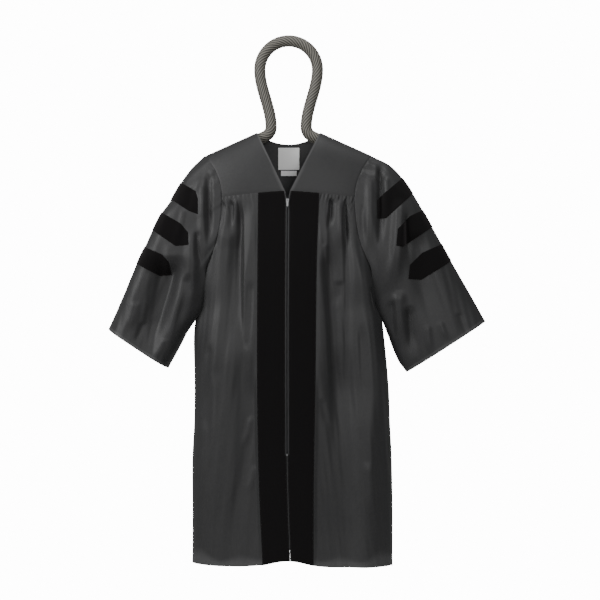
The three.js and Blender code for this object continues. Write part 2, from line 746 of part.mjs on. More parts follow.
// The shoulder seams lie in one upright plane, so each yoke stops short of it
const toBack = new THREE.Vector3(0, 1, 0)
const toFront = new THREE.Vector3(0, -1, 0)
for (const side of sides) {
  frontYokes[side].trims[yokeRows].forEach((trims) => trims.push({ away: toBack, into: toFront }))
}
backYoke.trims[yokeRows].forEach((trims, j) => {
  const onShoulder = j <= shoulderColumns || j >= backColumns - shoulderColumns
  if (onShoulder) trims.push({ away: toFront, into: toBack })
})

for (const side of sides) {
  addCloth(`front_yoke_${side}`, frontYokes[side], 'satin')
  addCloth(`front_panel_${side}`, frontPanels[side], 'satin')
  addCloth(`sleeve_${side}`, sleeves[side], 'satin')
}
addCloth('back_yoke', backYoke, 'satin')
addCloth('back_panel', backPanel, 'satin')

// Velvet facings, laid on the front panels from hem to yoke seam
const facingTopGap = 1.5
for (const side of sides) {
  const { outer } = wallPoints(frontPanels[side])
  const columns = [1, velvetColumns + 2]
  const strip = outer.map((row) => row.slice(...columns))
  const normals = frontPanels[side].normals.map((row) => row.slice(...columns))
  strip[topRow].forEach((point, j) => {
    const down = strip[topRow - 1][j].clone().sub(point).normalize()
    point.addScaledVector(down, facingTopGap)
  })
  addPiece(`velvet_facing_${side}`, layerOn(strip, normals, layerGap, velvetThickness), 'velvet')
}

// Sleeve bars: the part of a velvet layer on the sleeve that a pointed bar covers
function barPrism (bar, sign) {
  const edge = new THREE.Vector2(sign * bar.edgeX, bar.edgeZ)
  const tip = new THREE.Vector2(sign * bar.tipX, bar.tipZ)
  const along = tip.clone().sub(edge).normalize()
  const across = new THREE.Vector2(-along.y, along.x).multiplyScalar(barWidth / 2)
  const start = edge.clone().addScaledVector(along, -barOverhang)
  const neck = tip.clone().addScaledVector(along, -barWidth / 2)
  const outline = [
    start.clone().add(across), neck.clone().add(across), tip,
    neck.clone().sub(across), start.clone().sub(across)
  ]
  const settings = { depth: barPrismDepth, bevelEnabled: false, steps: 1 }
  const prism = new THREE.ExtrudeGeometry(new THREE.Shape(outline), settings)
  return prism.translate(0, 0, -barPrismDepth / 2).rotateX(Math.PI / 2)
}

for (const side of sides) {
  const { outer } = wallPoints(sleeves[side])
  const layer = toSolid(layerOn(outer, sleeves[side].normals, layerGap, velvetThickness, true))
  sleeveBars[side].forEach((bar, k) => {
    const cut = layer.intersect(toSolid(barPrism(bar, sideSign[side])))
    addPiece(`sleeve_bar_${side}_${k + 1}`, fromSolid(cut), 'velvet')
  })
}

// Zip. Its pieces follow the front edge's own line from row to row
const chainHalf = 1.5
const chainLowZ = 323
const chainHighZ = 1039
const chainFrontY = 0.3
const chainBackY = 2.6
const tapeInner = 1.8
const tapeOuter = 14
const tapeThickness = 0.9
const tapeLowZ = 312
const tapeHighZ = 1060
const frontEdge = frontPanels.left.grid.map((row) => row[0])

function frontEdgeAt (z) {
  const above = Math.max(frontEdge.findIndex((point) => point.z > z), 1)
  const low = frontEdge[above - 1]
  const high = frontEdge[above]
  const t = (z - low.z) / (high.z - low.z)
  const centre = readTable(bodySections, 'z', z).centreShift
  return new THREE.Vector3(centre, lerp(low.y, high.y, t), z)
}

function edgeStrip (fromX, toX, fromY, toY, lowZ, highZ) {
  const between = frontEdge.map((point) => point.z).filter((z) => z > lowZ + 1 && z < highZ - 1)
  const line = [lowZ, ...between, highZ].map(frontEdgeAt)
  const layer = (y) => line.map((p) => [fromX, toX].map((x) => new THREE.Vector3(p.x + x, p.y + y, p.z)))
  return wallGeometry(layer(fromY), layer(toY))
}

const chain = edgeStrip(-chainHalf, chainHalf, chainFrontY, chainBackY, chainLowZ, chainHighZ)
addPiece('zip_chain', chain, 'teeth')
const tapeY = clothThickness + layerGap
for (const side of sides) {
  const sign = sideSign[side]
  const [near, far] = [sign * tapeInner, sign * tapeOuter]
  const tape = edgeStrip(near, far, tapeY, tapeY + tapeThickness, tapeLowZ, tapeHighZ)
  addPiece(`zip_tape_${side}`, tape, 'tape')
}

// The slider: two plates and the web between them, as one extruded section
const sliderHeight = 10
const plateHalf = 4
const plateThickness = 1.4
const webHalf = 1.2
const sliderLow = frontEdgeAt(sliderZ - sliderHeight / 2)
const sliderHigh = frontEdgeAt(sliderZ + sliderHeight / 2)
const plateBackY = Math.min(sliderLow.y, sliderHigh.y) - layerGap
const plateFrontY = plateBackY - plateThickness
const innerPlateY = Math.max(sliderLow.y, sliderHigh.y) + tapeY + tapeThickness + layerGap
const sliderSection = new THREE.Shape([
  [-plateHalf, plateFrontY], [plateHalf, plateFrontY], [plateHalf, plateBackY], [webHalf, plateBackY],
  [webHalf, innerPlateY], [plateHalf, innerPlateY], [plateHalf, innerPlateY + plateThickness],
  [-plateHalf, innerPlateY + plateThickness], [-plateHalf, innerPlateY], [-webHalf, innerPlateY],
  [-webHalf, plateBackY], [-plateHalf, plateBackY]
].map(([x, y]) => new THREE.Vector2(x, y)))
const sliderX = frontEdgeAt(sliderZ).x
const sliderRun = { depth: sliderHeight, bevelEnabled: false, steps: 1 }
const sliderBody = new THREE.ExtrudeGeometry(sliderSection, sliderRun)
sliderBody.translate(sliderX, 0, sliderZ - sliderHeight / 2)

// Two ears on the slider carry the pin that the pull tab turns on
const earInner = 1.5
const earOuter = 2.5
const earHalfHeight = 1.5
const earRoot = 0.3
const earNose = 1
const pinShort = 0.1
const pinRise = 1
const pinRadius = 0.7
const pinStandoff = 2.6
const pin = new THREE.Vector3(sliderX, plateFrontY - pinStandoff, sliderZ + pinRise)
let slider = toSolid(sliderBody)
for (const sign of [-1, 1]) {
  const [a, b] = [sign * earInner, sign * earOuter].sort((p, q) => p - q)
  const ear = box(
    [pin.x + a, pin.y - earNose, pin.z - earHalfHeight],
    [pin.x + b, plateFrontY + earRoot, pin.z + earHalfHeight]
  )
  slider = slider.add(toSolid(ear))
}
const pinRod = new THREE.CylinderGeometry(pinRadius, pinRadius, 2 * (earOuter - pinShort), 16)
slider = slider.add(toSolid(pinRod.rotateZ(Math.PI / 2).translate(pin.x, pin.y, pin.z)))
addPiece('zip_slider', fromSolid(slider), 'zipMetal')

// The pull tab: an eye round the pin, a short neck and a tab that hangs from it
const eyeInner = 1.1
const eyeOuter = 2
const eyeHalfWidth = 1.1
const tabTop = -3.2
const neckTop = -1.6
const tabShoulder = 1.6
const tabLength = 15
const tabHalfWidth = 2.6
const tabThickness = 1.1
const eyeShape = new THREE.Shape().absarc(0, 0, eyeOuter, 0, 2 * Math.PI)
eyeShape.holes.push(new THREE.Path().absarc(0, 0, eyeInner, 0, 2 * Math.PI, true))
const eyeRun = { depth: 2 * eyeHalfWidth, bevelEnabled: false, curveSegments: 10 }
const eye = new THREE.ExtrudeGeometry(eyeShape, eyeRun)
eye.translate(0, 0, -eyeHalfWidth).rotateY(Math.PI / 2)
const tabShape = new THREE.Shape()
tabShape.moveTo(-eyeHalfWidth, neckTop)
tabShape.lineTo(-eyeHalfWidth, tabTop)
tabShape.lineTo(-tabHalfWidth, tabTop - tabShoulder)
tabShape.lineTo(-tabHalfWidth, tabTop - tabLength + tabHalfWidth)
tabShape.absarc(0, tabTop - tabLength + tabHalfWidth, tabHalfWidth, Math.PI, 2 * Math.PI)
tabShape.lineTo(tabHalfWidth, tabTop - tabShoulder)
tabShape.lineTo(eyeHalfWidth, tabTop)
tabShape.lineTo(eyeHalfWidth, neckTop)
const tabRun = { depth: tabThickness, bevelEnabled: false, curveSegments: 8 }
const tab = new THREE.ExtrudeGeometry(tabShape, tabRun)
tab.translate(0, 0, -tabThickness / 2).rotateX(Math.PI / 2)
const pull = toSolid(eye).add(toSolid(tab))
addPiece('zip_pull', fromSolid(pull).translate(pin.x, pin.y, pin.z), 'zipMetal')

const stopHalf = 2.4
const stopHeight = 6
const stopThickness = 1.3
const stopLift = 0.4
const stopPlace = frontEdgeAt(stopZ)
addPiece('zip_stop', box(
  [stopPlace.x - stopHalf, stopPlace.y - stopLift - stopThickness, stopZ - stopHeight / 2],
  [stopPlace.x + stopHalf, stopPlace.y - stopLift, stopZ + stopHeight / 2]
), 'zipMetal')

// Labels, laid on the inside of the back yoke under the neck
const labels = [
  { name: 'label_main', halfWidth: 31, lowZ: 1144, highZ: 1208 },
  { name: 'label_size', halfWidth: 23, lowZ: 1126, highZ: 1141 }
]
const labelThickness = 0.8
const labelGap = 0.6
const labelRows = 2
const labelColumns = 4

// A place on the inside of the back yoke's middle, by x and height
function backYokeInside (x, z) {
  const { inner } = wallPoints(backYoke)
  const column = backColumns / 2 + x / (inner[3][backColumns / 2 + 1].x - inner[3][backColumns / 2].x)
  const j = Math.floor(column)
  const line = inner.map((row) => row[j].clone().lerp(row[j + 1], column - j))
  const above = line.findIndex((point) => point.z > z)
  const t = (z - line[above - 1].z) / (line[above].z - line[above - 1].z)
  return line[above - 1].clone().lerp(line[above], t)
}

for (const label of labels) {
  const grid = range(labelRows + 1).map((i) => range(labelColumns + 1).map((j) => {
    const z = lerp(label.lowZ, label.highZ, i / labelRows)
    const x = lerp(-label.halfWidth, label.halfWidth, j / labelColumns)
    const place = backYokeInside(x, z)
    return new THREE.Vector3(x, place.y, z)
  }))
  const forward = (distance) => grid.map((row) => row.map((p) => (
    new THREE.Vector3(p.x, p.y - distance, p.z)
  )))
  addPiece(label.name, wallGeometry(forward(labelGap), forward(labelGap + labelThickness)), 'label')
}

// Hanger: one bent tube, from a shoulder tip through its loop to the other tip
function hangerLine () {
  const slope = Math.atan2(neckPoint.z - shoulderPoint.z, shoulderPoint.x - neckPoint.x)
  const seamHeight = (x) => neckPoint.z - (x - neckPoint.x) * Math.tan(slope) - tubeBelowSeam
  const turn = Math.PI / 2 - slope
  const bendEndX = tubeNeckX + tubeBendRadius * (1 - Math.cos(turn))
  const bendTopZ = seamHeight(bendEndX) + tubeBendRadius * Math.sin(turn)
  const points = []
  for (const x of [tubeTipX, (tubeTipX + neckPoint.x) / 2, neckPoint.x]) points.push([x, seamHeight(x)])
  for (const t of [1, 0.75, 0.5, 0.25, 0]) {
    const angle = turn * t
    points.push([
      tubeNeckX + tubeBendRadius * (1 - Math.cos(angle)),
      bendTopZ - tubeBendRadius * Math.sin(angle)
    ])
  }
  for (const t of [0.25, 0.5, 0.75]) {
    points.push([lerp(tubeNeckX, loopRadius, smooth(t)), lerp(bendTopZ, loopCentreZ, t)])
  }
  for (const t of range(9)) {
    const angle = t * Math.PI / 16
    points.push([loopRadius * Math.cos(angle), loopCentreZ + loopRadius * Math.sin(angle)])
  }
  const mirrored = points.slice(0, -1).reverse().map(([x, z]) => [-x, z])
  return [...points, ...mirrored].map(([x, z]) => new THREE.Vector3(x, 0, z))
}

// A tube of rings along a level-sided line, with rounded ends
function tubeGeometry (line, radius) {
  const directions = tangents(line)
  const rings = []
  const addRing = (middle, direction, size) => {
    const out = new THREE.Vector3(direction.z, 0, -direction.x)
    rings.push(range(tubeSides).map((k) => {
      const angle = 2 * Math.PI * k / tubeSides
      const point = middle.clone().addScaledVector(out, size * Math.cos(angle))
      point.y += size * Math.sin(angle)
      return point
    }))
  }
  const domeSteps = [0.94, 0.7, 0.35]
  const dome = (end, direction, step) => {
    const middle = end.clone().addScaledVector(direction, radius * step)
    addRing(middle, direction, radius * Math.sqrt(1 - step * step))
  }
  const last = line.length - 1
  domeSteps.forEach((step) => dome(line[0], directions[0], -step))
  line.forEach((point, i) => addRing(point, directions[i], radius))
  domeSteps.slice().reverse().forEach((step) => dome(line[last], directions[last], step))
  const points = rings.flat()
  const faces = []
  for (let i = 0; i < rings.length - 1; i++) {
    for (let k = 0; k < tubeSides; k++) {
      const next = (k + 1) % tubeSides
      const [a, b] = [i * tubeSides + k, i * tubeSides + next]
      const [c, d] = [a + tubeSides, b + tubeSides]
      faces.push(a, b, d, a, d, c)
    }
  }
  const capStart = (rings.length - 1) * tubeSides
  for (let k = 1; k < tubeSides - 1; k++) {
    faces.push(0, k + 1, k, capStart, capStart + k, capStart + k + 1)
  }
  return closedGeometry(points, faces)
}

addPiece('hanger', tubeGeometry(hangerLine(), tubeRadius), 'tube')

// Hang from the inner top of the loop
group.children.forEach((mesh) => mesh.geometry.translate(0, 0, -(loopCentreZ + loopRadius - tubeRadius)))

export default group
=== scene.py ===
import json
import math

import bmesh
import bpy
import numpy as np
from mathutils import Matrix, Vector


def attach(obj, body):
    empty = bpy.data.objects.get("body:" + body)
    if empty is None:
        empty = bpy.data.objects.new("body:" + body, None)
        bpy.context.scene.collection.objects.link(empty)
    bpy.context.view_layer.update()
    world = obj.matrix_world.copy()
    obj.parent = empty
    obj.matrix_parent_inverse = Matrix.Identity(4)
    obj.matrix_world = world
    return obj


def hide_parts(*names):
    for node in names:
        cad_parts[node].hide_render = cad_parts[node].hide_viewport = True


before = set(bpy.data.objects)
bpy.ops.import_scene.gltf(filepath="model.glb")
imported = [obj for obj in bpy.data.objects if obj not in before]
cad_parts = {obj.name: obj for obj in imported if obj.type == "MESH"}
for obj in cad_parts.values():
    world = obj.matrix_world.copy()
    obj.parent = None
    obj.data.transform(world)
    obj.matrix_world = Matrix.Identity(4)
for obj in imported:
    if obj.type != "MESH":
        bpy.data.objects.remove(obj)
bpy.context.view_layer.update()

# The gown is worked out in millimetres with its hem at height 0 and its front towards -Y
mm = 0.001
hangHeight = 1497
sideSign = {"right": -1, "left": 1}


def table(columns, rows):
    names = columns.split()
    return [dict(zip(names, row)) for row in rows]


def smooth(t):
    t = np.clip(t, 0, 1)
    return t * t * (3 - 2 * t)


def mix(a, b, t):
    return a + (b - a) * t


# A smooth curve through a column of a table
def readTable(rows, key, column, value):
    keys = np.array([row[key] for row in rows], float)
    data = np.array([row[column] for row in rows], float)
    last = len(rows) - 1
    i = np.clip(np.searchsorted(keys, value, side="right") - 1, 0, last - 1)
    span = keys[i + 1] - keys[i]
    t = np.clip((value - keys[i]) / span, 0, 1)
    after = np.minimum(np.arange(last + 1) + 1, last)
    before = np.maximum(np.arange(last + 1) - 1, 0)
    slope = (data[after] - data[before]) / (keys[after] - keys[before])
    bend = t * t * (3 - 2 * t)
    leave = t * (1 - t) ** 2 * span * slope[i]
    arrive = t * t * (t - 1) * span * slope[i + 1]
    return data[i] + (data[i + 1] - data[i]) * bend + leave + arrive


# How far each point of a line or a grid lies from its first one
def lengthsAlong(grid, axis):
    steps = np.linalg.norm(np.diff(grid, axis=axis), axis=-1)
    start = np.zeros_like(np.take(steps, [0], axis=axis))
    return np.concatenate([start, np.cumsum(steps, axis=axis)], axis=axis)


print("stage: camera, lights and floor")
cameraSettings = {
    "distance": 4.2, "aimX": 0.033, "aimZ": -0.737, "frontY": -0.04, "frameWidth": 1.73,
    "sensor": 36, "farEnd": 100,
}
stageSettings = {
    "backdrop": 14.0, "ambient": 0.28,
    "floorZ": -1.84, "floorRadius": 0.8, "floorSides": 96,
    "floorColour": (0.9, 0.9, 0.9, 1), "floorRoughness": 0.9,
}
lights = table("name place target size power", [
    ("key", (-2.5, -2.0, 0.7), (0, 0, -0.75), (1.2, 2.0), 91),
    ("fill", (0.8, -3.9, 0.0), (0, 0, -0.6), (1.3, 1.3), 44),
    ("back", (0.4, 3.4, 0.5), (0, 0, -0.7), (2.0, 2.0), 80),
    ("top", (0.2, -0.9, 2.0), (0, 0, -0.4), (1.8, 1.2), 38),
])


def makeCamera(settings):
    data = bpy.data.cameras.new("camera")
    data.sensor_width = settings["sensor"]
    data.lens = settings["sensor"] * settings["distance"] / settings["frameWidth"]
    data.clip_end = settings["farEnd"]
    camera = bpy.data.objects.new("camera", data)
    camera.location = (settings["aimX"], settings["frontY"] - settings["distance"], settings["aimZ"])
    camera.rotation_euler = (math.radians(90), 0, 0)
    bpy.context.scene.collection.objects.link(camera)
    bpy.context.scene.camera = camera


def makeLight(light):
    data = bpy.data.lights.new(light["name"], "AREA")
    data.shape = "RECTANGLE"
    data.size, data.size_y = light["size"]
    data.energy = light["power"]
    lamp = bpy.data.objects.new(light["name"], data)
    lamp.location = light["place"]
    away = Vector(light["place"]) - Vector(light["target"])
    lamp.rotation_euler = away.to_track_quat("Z", "Y").to_euler()
    bpy.context.scene.collection.objects.link(lamp)


def makeFloor(settings):
    bpy.ops.mesh.primitive_circle_add(
        vertices=settings["floorSides"], radius=settings["floorRadius"],
        fill_type="NGON", location=(0, 0, 0))
    floor = bpy.context.active_object
    floor.name = "floor"
    floor.data.transform(Matrix.Translation((0, 0, settings["floorZ"])))
    material = bpy.data.materials.new("paleFloor")
    material.use_nodes = True
    principled = material.node_tree.nodes["Principled BSDF"]
    principled.inputs["Base Color"].default_value = settings["floorColour"]
    principled.inputs["Roughness"].default_value = settings["floorRoughness"]
    floor.data.materials.append(material)


# The backdrop is white to the camera and gives less light than it shows
def makeWorld(settings):
    world = bpy.data.worlds.new("studio")
    bpy.context.scene.world = world
    world.use_nodes = True
    nodes = world.node_tree.nodes
    links = world.node_tree.links
    seen = nodes["Background"]
    lighting = nodes.new("ShaderNodeBackground")
    for node, strength in ((seen, settings["backdrop"]), (lighting, settings["ambient"])):
        node.inputs["Color"].default_value = (1, 1, 1, 1)
        node.inputs["Strength"].default_value = strength
    path = nodes.new("ShaderNodeLightPath")
    blend = nodes.new("ShaderNodeMixShader")
    links.new(path.outputs["Is Camera Ray"], blend.inputs[0])
    links.new(lighting.outputs[0], blend.inputs[1])
    links.new(seen.outputs[0], blend.inputs[2])
    links.new(blend.outputs[0], nodes["World Output"].inputs["Surface"])


makeCamera(cameraSettings)
makeFloor(stageSettings)
makeWorld(stageSettings)
for light in lights:
    makeLight(light)

print("stage: cloth tables")

# Level sections of the body. Both shifts are to the wearer's left: at the sides, and at the middle
bodySections = table("z halfWidth halfDepth sideShift centreShift", [
    (0, 291, 95, 11, 6),
    (150, 291, 94, 11.5, 0),
    (296, 290, 93, 10, -3.5),
    (412, 284.5, 92, 10, -4),
    (528, 281.5, 90.5, 8, -4.5),
    (644, 277, 89, 1, -4.5),
    (695, 272, 88, 0, -4.5),
    (745, 258, 87, 0, -4.5),
    (818, 265, 85.5, 0, -4),
    (919, 258, 81, 0, -3.5),
    (1000, 254, 74, 0, -3),
    (1056, 252, 70, 0, -3),
    (1080, 251, 69, 0, -3),
])
velvetEdges = table("z right left", [
    (0, 73, 71),
    (238, 84, 72),
    (528, 89.5, 77),
    (876, 88.5, 81),
    (1080, 87, 88.5),
])
sleeveColumns = "v topX topZ underX underZ halfDepth"
sleeveSections = {
    "right": table(sleeveColumns, [
        (0, 240, 1180, 265, 818, 60),
        (0.12, 285, 1138, 273, 790, 67),
        (0.25, 326, 1080, 275, 762, 73),
        (0.45, 382, 975, 279, 716, 78),
        (0.65, 436, 865, 297, 663, 81),
        (0.85, 486, 757, 325, 607, 84),
        (1, 523, 676, 350, 563, 85),
    ]),
    "left": table(sleeveColumns, [
        (0, 240, 1180, 265, 818, 60),
        (0.12, 297, 1150, 273, 785, 65),
        (0.25, 345, 1095, 275, 755, 66),
        (0.45, 405, 995, 279, 712, 60),
        (0.65, 466, 885, 290, 655, 53),
        (0.85, 527, 779, 318, 585, 48),
        (1, 572, 698, 343, 551, 46),
    ]),
}

# A fold runs from a top to a low height, pulled aside in its middle. inner and outer are the
# widths of its slopes towards the gown's middle and side, flat is half the width between them,
# and a valley has a negative height. The first rows of each table are the large folds
mainFolds = 6
foldColumns = "topX topZ midX lowX lowZ inner outer height flat"
frontFolds = {
    "right": table(foldColumns, [
        (140, 1053, 158, 208, 680, 20, 24, -7, 2),
        (107, 1053, 106, 100, 380, 20, 4.5, 3, 19),
        (163, 1050, 166, 172, 930, 6, 9, -7, 0),
        (178, 1040, 197, 262, 400, 16, 20, 10, 4),
        (180, 720, 185, 192, -200, 40, 40, 10, 6),
        (134, 680, 134, 190, -100, 20, 22, -6, 2),
        (137, 1054, 137, 134, 600, 4, 9, -11, 1),
        (148, 960, 152, 150, 600, 10, 36, -9, 0),
        (152, 1052, 152, 154, 960, 4, 5, 4, 2),
        (98, 620, 96, 94, -300, 25, 52, -13, 2),
        (186, 1046, 190, 196, 940, 6, 8, -4, 0),
        (108, 820, 110, 122, 600, 9, 10, -4, 0),
        (118, 640, 110, 100, 480, 7, 8, 3.2, 0),
        (108, 430, 118, 132, 330, 7, 7, 3.4, 0),
        (96, 290, 104, 118, 200, 7, 8, 3.0, 0),
        (222, 640, 240, 262, 420, 11, 9, -4.5, 0),
        (206, 560, 210, 222, 240, 9, 10, 3, 2),
        (214, 930, 228, 244, 760, 8, 9, 4, 2),
        (236, 420, 246, 258, 180, 9, 9, 3, 2),
    ]),
    "left": table(foldColumns, [
        (98, 1053, 98, 112, 270, 18, 6, 3, 12),
        (106, 940, 133, 144, 270, 11, 16, -12, 5),
        (165, 1052, 172, 173, 320, 9, 10, -8, 1),
        (148, 1050, 149, 150, 900, 8, 8, 6, 1),
        (188, 950, 242, 230, 110, 17, 24, 12, 4),
        (212, 520, 216, 220, -300, 20, 26, 7, 8),
        (122, 1054, 121, 113, 955, 4, 6, -11, 1),
        (164, 1053, 165, 168, 900, 3.5, 5, -7, 0),
        (206, 1050, 207, 210, 930, 5, 7, -7, 0),
        (130, 960, 150, 160, 300, 30, 20, -10, 6),
        (168, 640, 176, 178, -300, 72, 18, -15, 4),
        (226, 1046, 228, 232, 960, 5, 6, 3, 0),
        (104, 925, 107, 112, 855, 7, 7, 3.4, 0),
        (150, 815, 147, 140, 740, 11, 9, -4.5, 0),
        (236, 800, 243, 252, 715, 7, 8, -6, 0),
        (96, 480, 104, 114, 390, 7, 7, -3, 0),
        (222, 300, 236, 248, 140, 13, 10, 4.5, 1),
        (206, 700, 214, 216, 330, 8, 10, -4, 1),
    ]),
}
sleeveFolds = {
    "right": table(foldColumns, [
        (228, 1140, 226, 229, 910, 6, 8, -13, 1),
        (248, 1120, 247, 237, 870, 9, 10, 8, 1),
        (275, 985, 294, 352, 600, 13, 15, 12, 3),
        (292, 840, 305, 326, 650, 7, 9, -10, 1),
        (322, 1060, 410, 490, 680, 24, 26, 10, 4),
        (326, 890, 371, 424, 530, 26, 52, -40, 3),
        (208, 1145, 207, 210, 1060, 4, 5, -6, 0),
        (262, 960, 262, 256, 855, 6, 7, -8, 0),
        (278, 1090, 285, 302, 1000, 7, 8, -4, 0),
        (440, 760, 452, 472, 660, 9, 10, 3.6, 0),
        (352, 650, 368, 382, 580, 7, 8, 4, 0),
        (420, 700, 428, 442, 630, 7, 8, -3.4, 0),
        (340, 930, 352, 372, 760, 8, 9, 3, 1),
        (300, 1030, 312, 330, 900, 8, 9, 3.4, 1),
    ]),
    "left": table(foldColumns, [
        (233, 1150, 231, 233, 870, 9, 10, 9, 2),
        (265, 1160, 265, 262, 880, 6, 8, -14, 1),
        (315, 1055, 313, 294, 780, 11, 13, 14, 4),
        (318, 790, 320, 331, 620, 11, 13, 8.5, 2),
        (346, 745, 352, 362, 590, 10, 12, -12, 1),
        (372, 960, 388, 430, 660, 22, 24, -9, 3),
        (214, 1150, 213, 214, 1080, 4.5, 5, 4, 0),
        (250, 1158, 249, 248, 1090, 4.5, 5, 4.5, 0),
        (210, 1040, 209, 210, 900, 6, 7, -9, 0),
        (279, 1120, 283, 289, 1010, 7, 8, 4.5, 1),
        (436, 700, 446, 462, 640, 7, 8, 3.4, 0),
        (400, 690, 403, 410, 600, 7, 8, 3.4, 0),
        (490, 725, 501, 513, 650, 8, 9, -3.2, 0),
        (338, 1010, 342, 346, 860, 7, 8, -8, 0),
        (300, 760, 301, 306, 640, 6, 7, -6, 0),
    ]),
}
backFlutes = table("x low halfWidth height", [
    (-176, 300, 11, 8),
    (-147, 520, 10, 7),
    (-117, 60, 12, 9),
    (-90, 430, 9, 6.5),
    (-64, 610, 9, 8),
    (-37, 180, 11, 9),
    (-10, 380, 10, 7.5),
    (18, 90, 12, 9),
    (47, 560, 9, 6.5),
    (73, 340, 10, 8),
    (101, 130, 11, 9),
    (128, 470, 9, 6.5),
    (154, 250, 11, 8),
    (180, 400, 10, 6.5),
])
fluteForm = {"spread": 1.35, "topZ": 1050, "below": 200, "flat": 1}
foldEnds = {"rise": 0.16, "fade": 0.48, "widening": 0.5}


def foldHeight(fold, x, z):
    s = (fold["topZ"] - z) / (fold["topZ"] - fold["lowZ"])
    inside = (s > 0) & (s < 1)
    s = np.clip(s, 0, 1)
    bow = 4 * s * (1 - s) * (fold["midX"] - (fold["topX"] + fold["lowX"]) / 2)
    centre = mix(fold["topX"], fold["lowX"], s) + bow
    width = np.where(x < centre, fold["inner"], fold["outer"]) * (1 + foldEnds["widening"] * s)
    across = np.maximum(np.abs(x - centre) - fold["flat"], 0) / width
    ends = smooth(s / foldEnds["rise"]) * smooth((1 - s) / foldEnds["fade"])
    return np.where(inside, fold["height"] * ends * np.exp(-across * across), 0)


def foldSum(folds, x, z):
    total = np.zeros_like(x)
    for fold in folds:
        total = total + foldHeight(fold, x, z)
    return total


def fluteFold(flute):
    x = flute["x"]
    spread = fluteForm["spread"]
    width = flute["halfWidth"]
    return {
        "topX": x, "midX": x * (1 + spread) / 2, "lowX": x * spread,
        "topZ": fluteForm["topZ"], "lowZ": flute["low"] - fluteForm["below"],
        "inner": width, "outer": width, "height": flute["height"], "flat": fluteForm["flat"],
    }


backFolds = [fluteFold(flute) for flute in backFlutes]

print("stage: body and sleeve forms")
seams = {
    "underarmZ": 818, "yokeSeamZ": 1056, "yokeRise": 17, "backDrop": 6,
    "backNeckDepth": 49, "backNeckDrop": 29, "armholeShare": 0.5, "shoulderPower": 0.9,
}
rowFades = {"edge": 3, "hem": 4}
hemLine = {"rise": 19, "riseWidth": 70, "drop": 3, "slant": 0.012, "backSpread": 3}
shoulderPoint = np.array([241.0, 0, 1180])
neckPoint = np.array([92.0, 0, 1247])
zipper = {"stopZ": 319, "sliderZ": 1045, "openHalf": 2, "openHalfTop": 7, "closedHalf": 0.06,
          "foldedEdge": 3.2, "sewnEdge": 1.4}
density = {"belowStop": 52, "aboveStop": 84, "besideArm": 66, "yoke": 44, "lip": 3, "velvet": 12,
           "front": 108, "shoulder": 56, "neck": 64, "sleeve": 150, "armholeTrace": 800}
shares = {"lip": 0.05, "velvet": 0.15}  # where each ends across a front panel's grid
sectionPower = 0.8

# Low ripples over all of the cloth, at random slants
rippleColumns = "seed height width length"
ripples = {
    "front": table(rippleColumns, [(3, 0.6, 46, 420), (9, 0.3, 22, 150)]),
    "back": table(rippleColumns, [(21, 0.7, 52, 460), (23, 0.3, 24, 160)]),
    "sleeve": table(rippleColumns, [(31, 0.6, 60, 210), (35, 0.3, 24, 90)]),
}
rippleForm = {"waves": 9, "broadest": 0.4, "finest": 1.5, "lean": 0.5}
foldMargins = {"velvet": 10, "side": 0.12, "seamZ": 1050, "belowSeam": 60}


def softRipple(seed, x, z, width, length):
    random = np.random.default_rng(seed)
    total = np.zeros_like(x)
    for _ in range(rippleForm["waves"]):
        a, b = random.uniform(rippleForm["broadest"], rippleForm["finest"], 2)
        lean = random.uniform(-rippleForm["lean"], rippleForm["lean"])
        phase = random.uniform(0, 2 * math.pi)
        total = total + np.sin(2 * math.pi * (a * x / width + b * (z + lean * x) / length) + phase)
    return total / rippleForm["waves"] ** 0.5


def rippleSum(part, turn, x, z):
    return sum(row["height"] * softRipple(row["seed"] + turn, x, z, row["width"], row["length"])
               for row in ripples[part])


def sectionPoint(z, q, sign, face):
    s = np.sin(q * math.pi / 2) ** sectionPower
    c = np.maximum(np.cos(q * math.pi / 2), 0) ** sectionPower
    centre = readTable(bodySections, "z", "centreShift", z)
    side = readTable(bodySections, "z", "sideShift", z)
    shift = mix(centre, side, s)
    x = sign * readTable(bodySections, "z", "halfWidth", z) * s + shift
    y = face * readTable(bodySections, "z", "halfDepth", z) * c
    return np.stack(np.broadcast_arrays(x, y, z), axis=-1)


def sectionNormal(z, q, sign, face):
    power = 2 - sectionPower
    nx = np.sin(q * math.pi / 2) ** power / readTable(bodySections, "z", "halfWidth", z)
    ny = np.maximum(np.cos(q * math.pi / 2), 0) ** power / readTable(bodySections, "z", "halfDepth", z)
    normal = np.stack(np.broadcast_arrays(sign * nx, face * ny, np.zeros_like(nx)), axis=-1)
    return normal / np.linalg.norm(normal, axis=-1, keepdims=True)


def sectionQ(z, x, sign):
    centre = readTable(bodySections, "z", "centreShift", z)
    side = readTable(bodySections, "z", "sideShift", z)
    reach = sign * readTable(bodySections, "z", "halfWidth", z) + side - centre
    s = np.clip((x - centre) / reach, 0, 1)
    return np.arcsin(s ** (1 / sectionPower)) * 2 / math.pi


def bodyPoint(z, q, sign, face):
    point = sectionPoint(z, q, sign, face)
    side = "right" if sign < 0 else "left"
    belowSeam = smooth((foldMargins["seamZ"] - z) / foldMargins["belowSeam"])
    if face < 0:
        x = np.abs(point[..., 0])
        fromVelvet = x - readTable(velvetEdges, "z", side, z)
        height = foldSum(frontFolds[side], x, z) + belowSeam * rippleSum("front", sign, x, z)
        height = height * smooth(fromVelvet / foldMargins["velvet"])
    else:
        x = point[..., 0]
        height = foldSum(backFolds, x, z) + belowSeam * rippleSum("back", 0, x, z)
    height = height * smooth((1 - q) / foldMargins["side"])
    return point + sectionNormal(z, q, sign, face) * height[..., None]


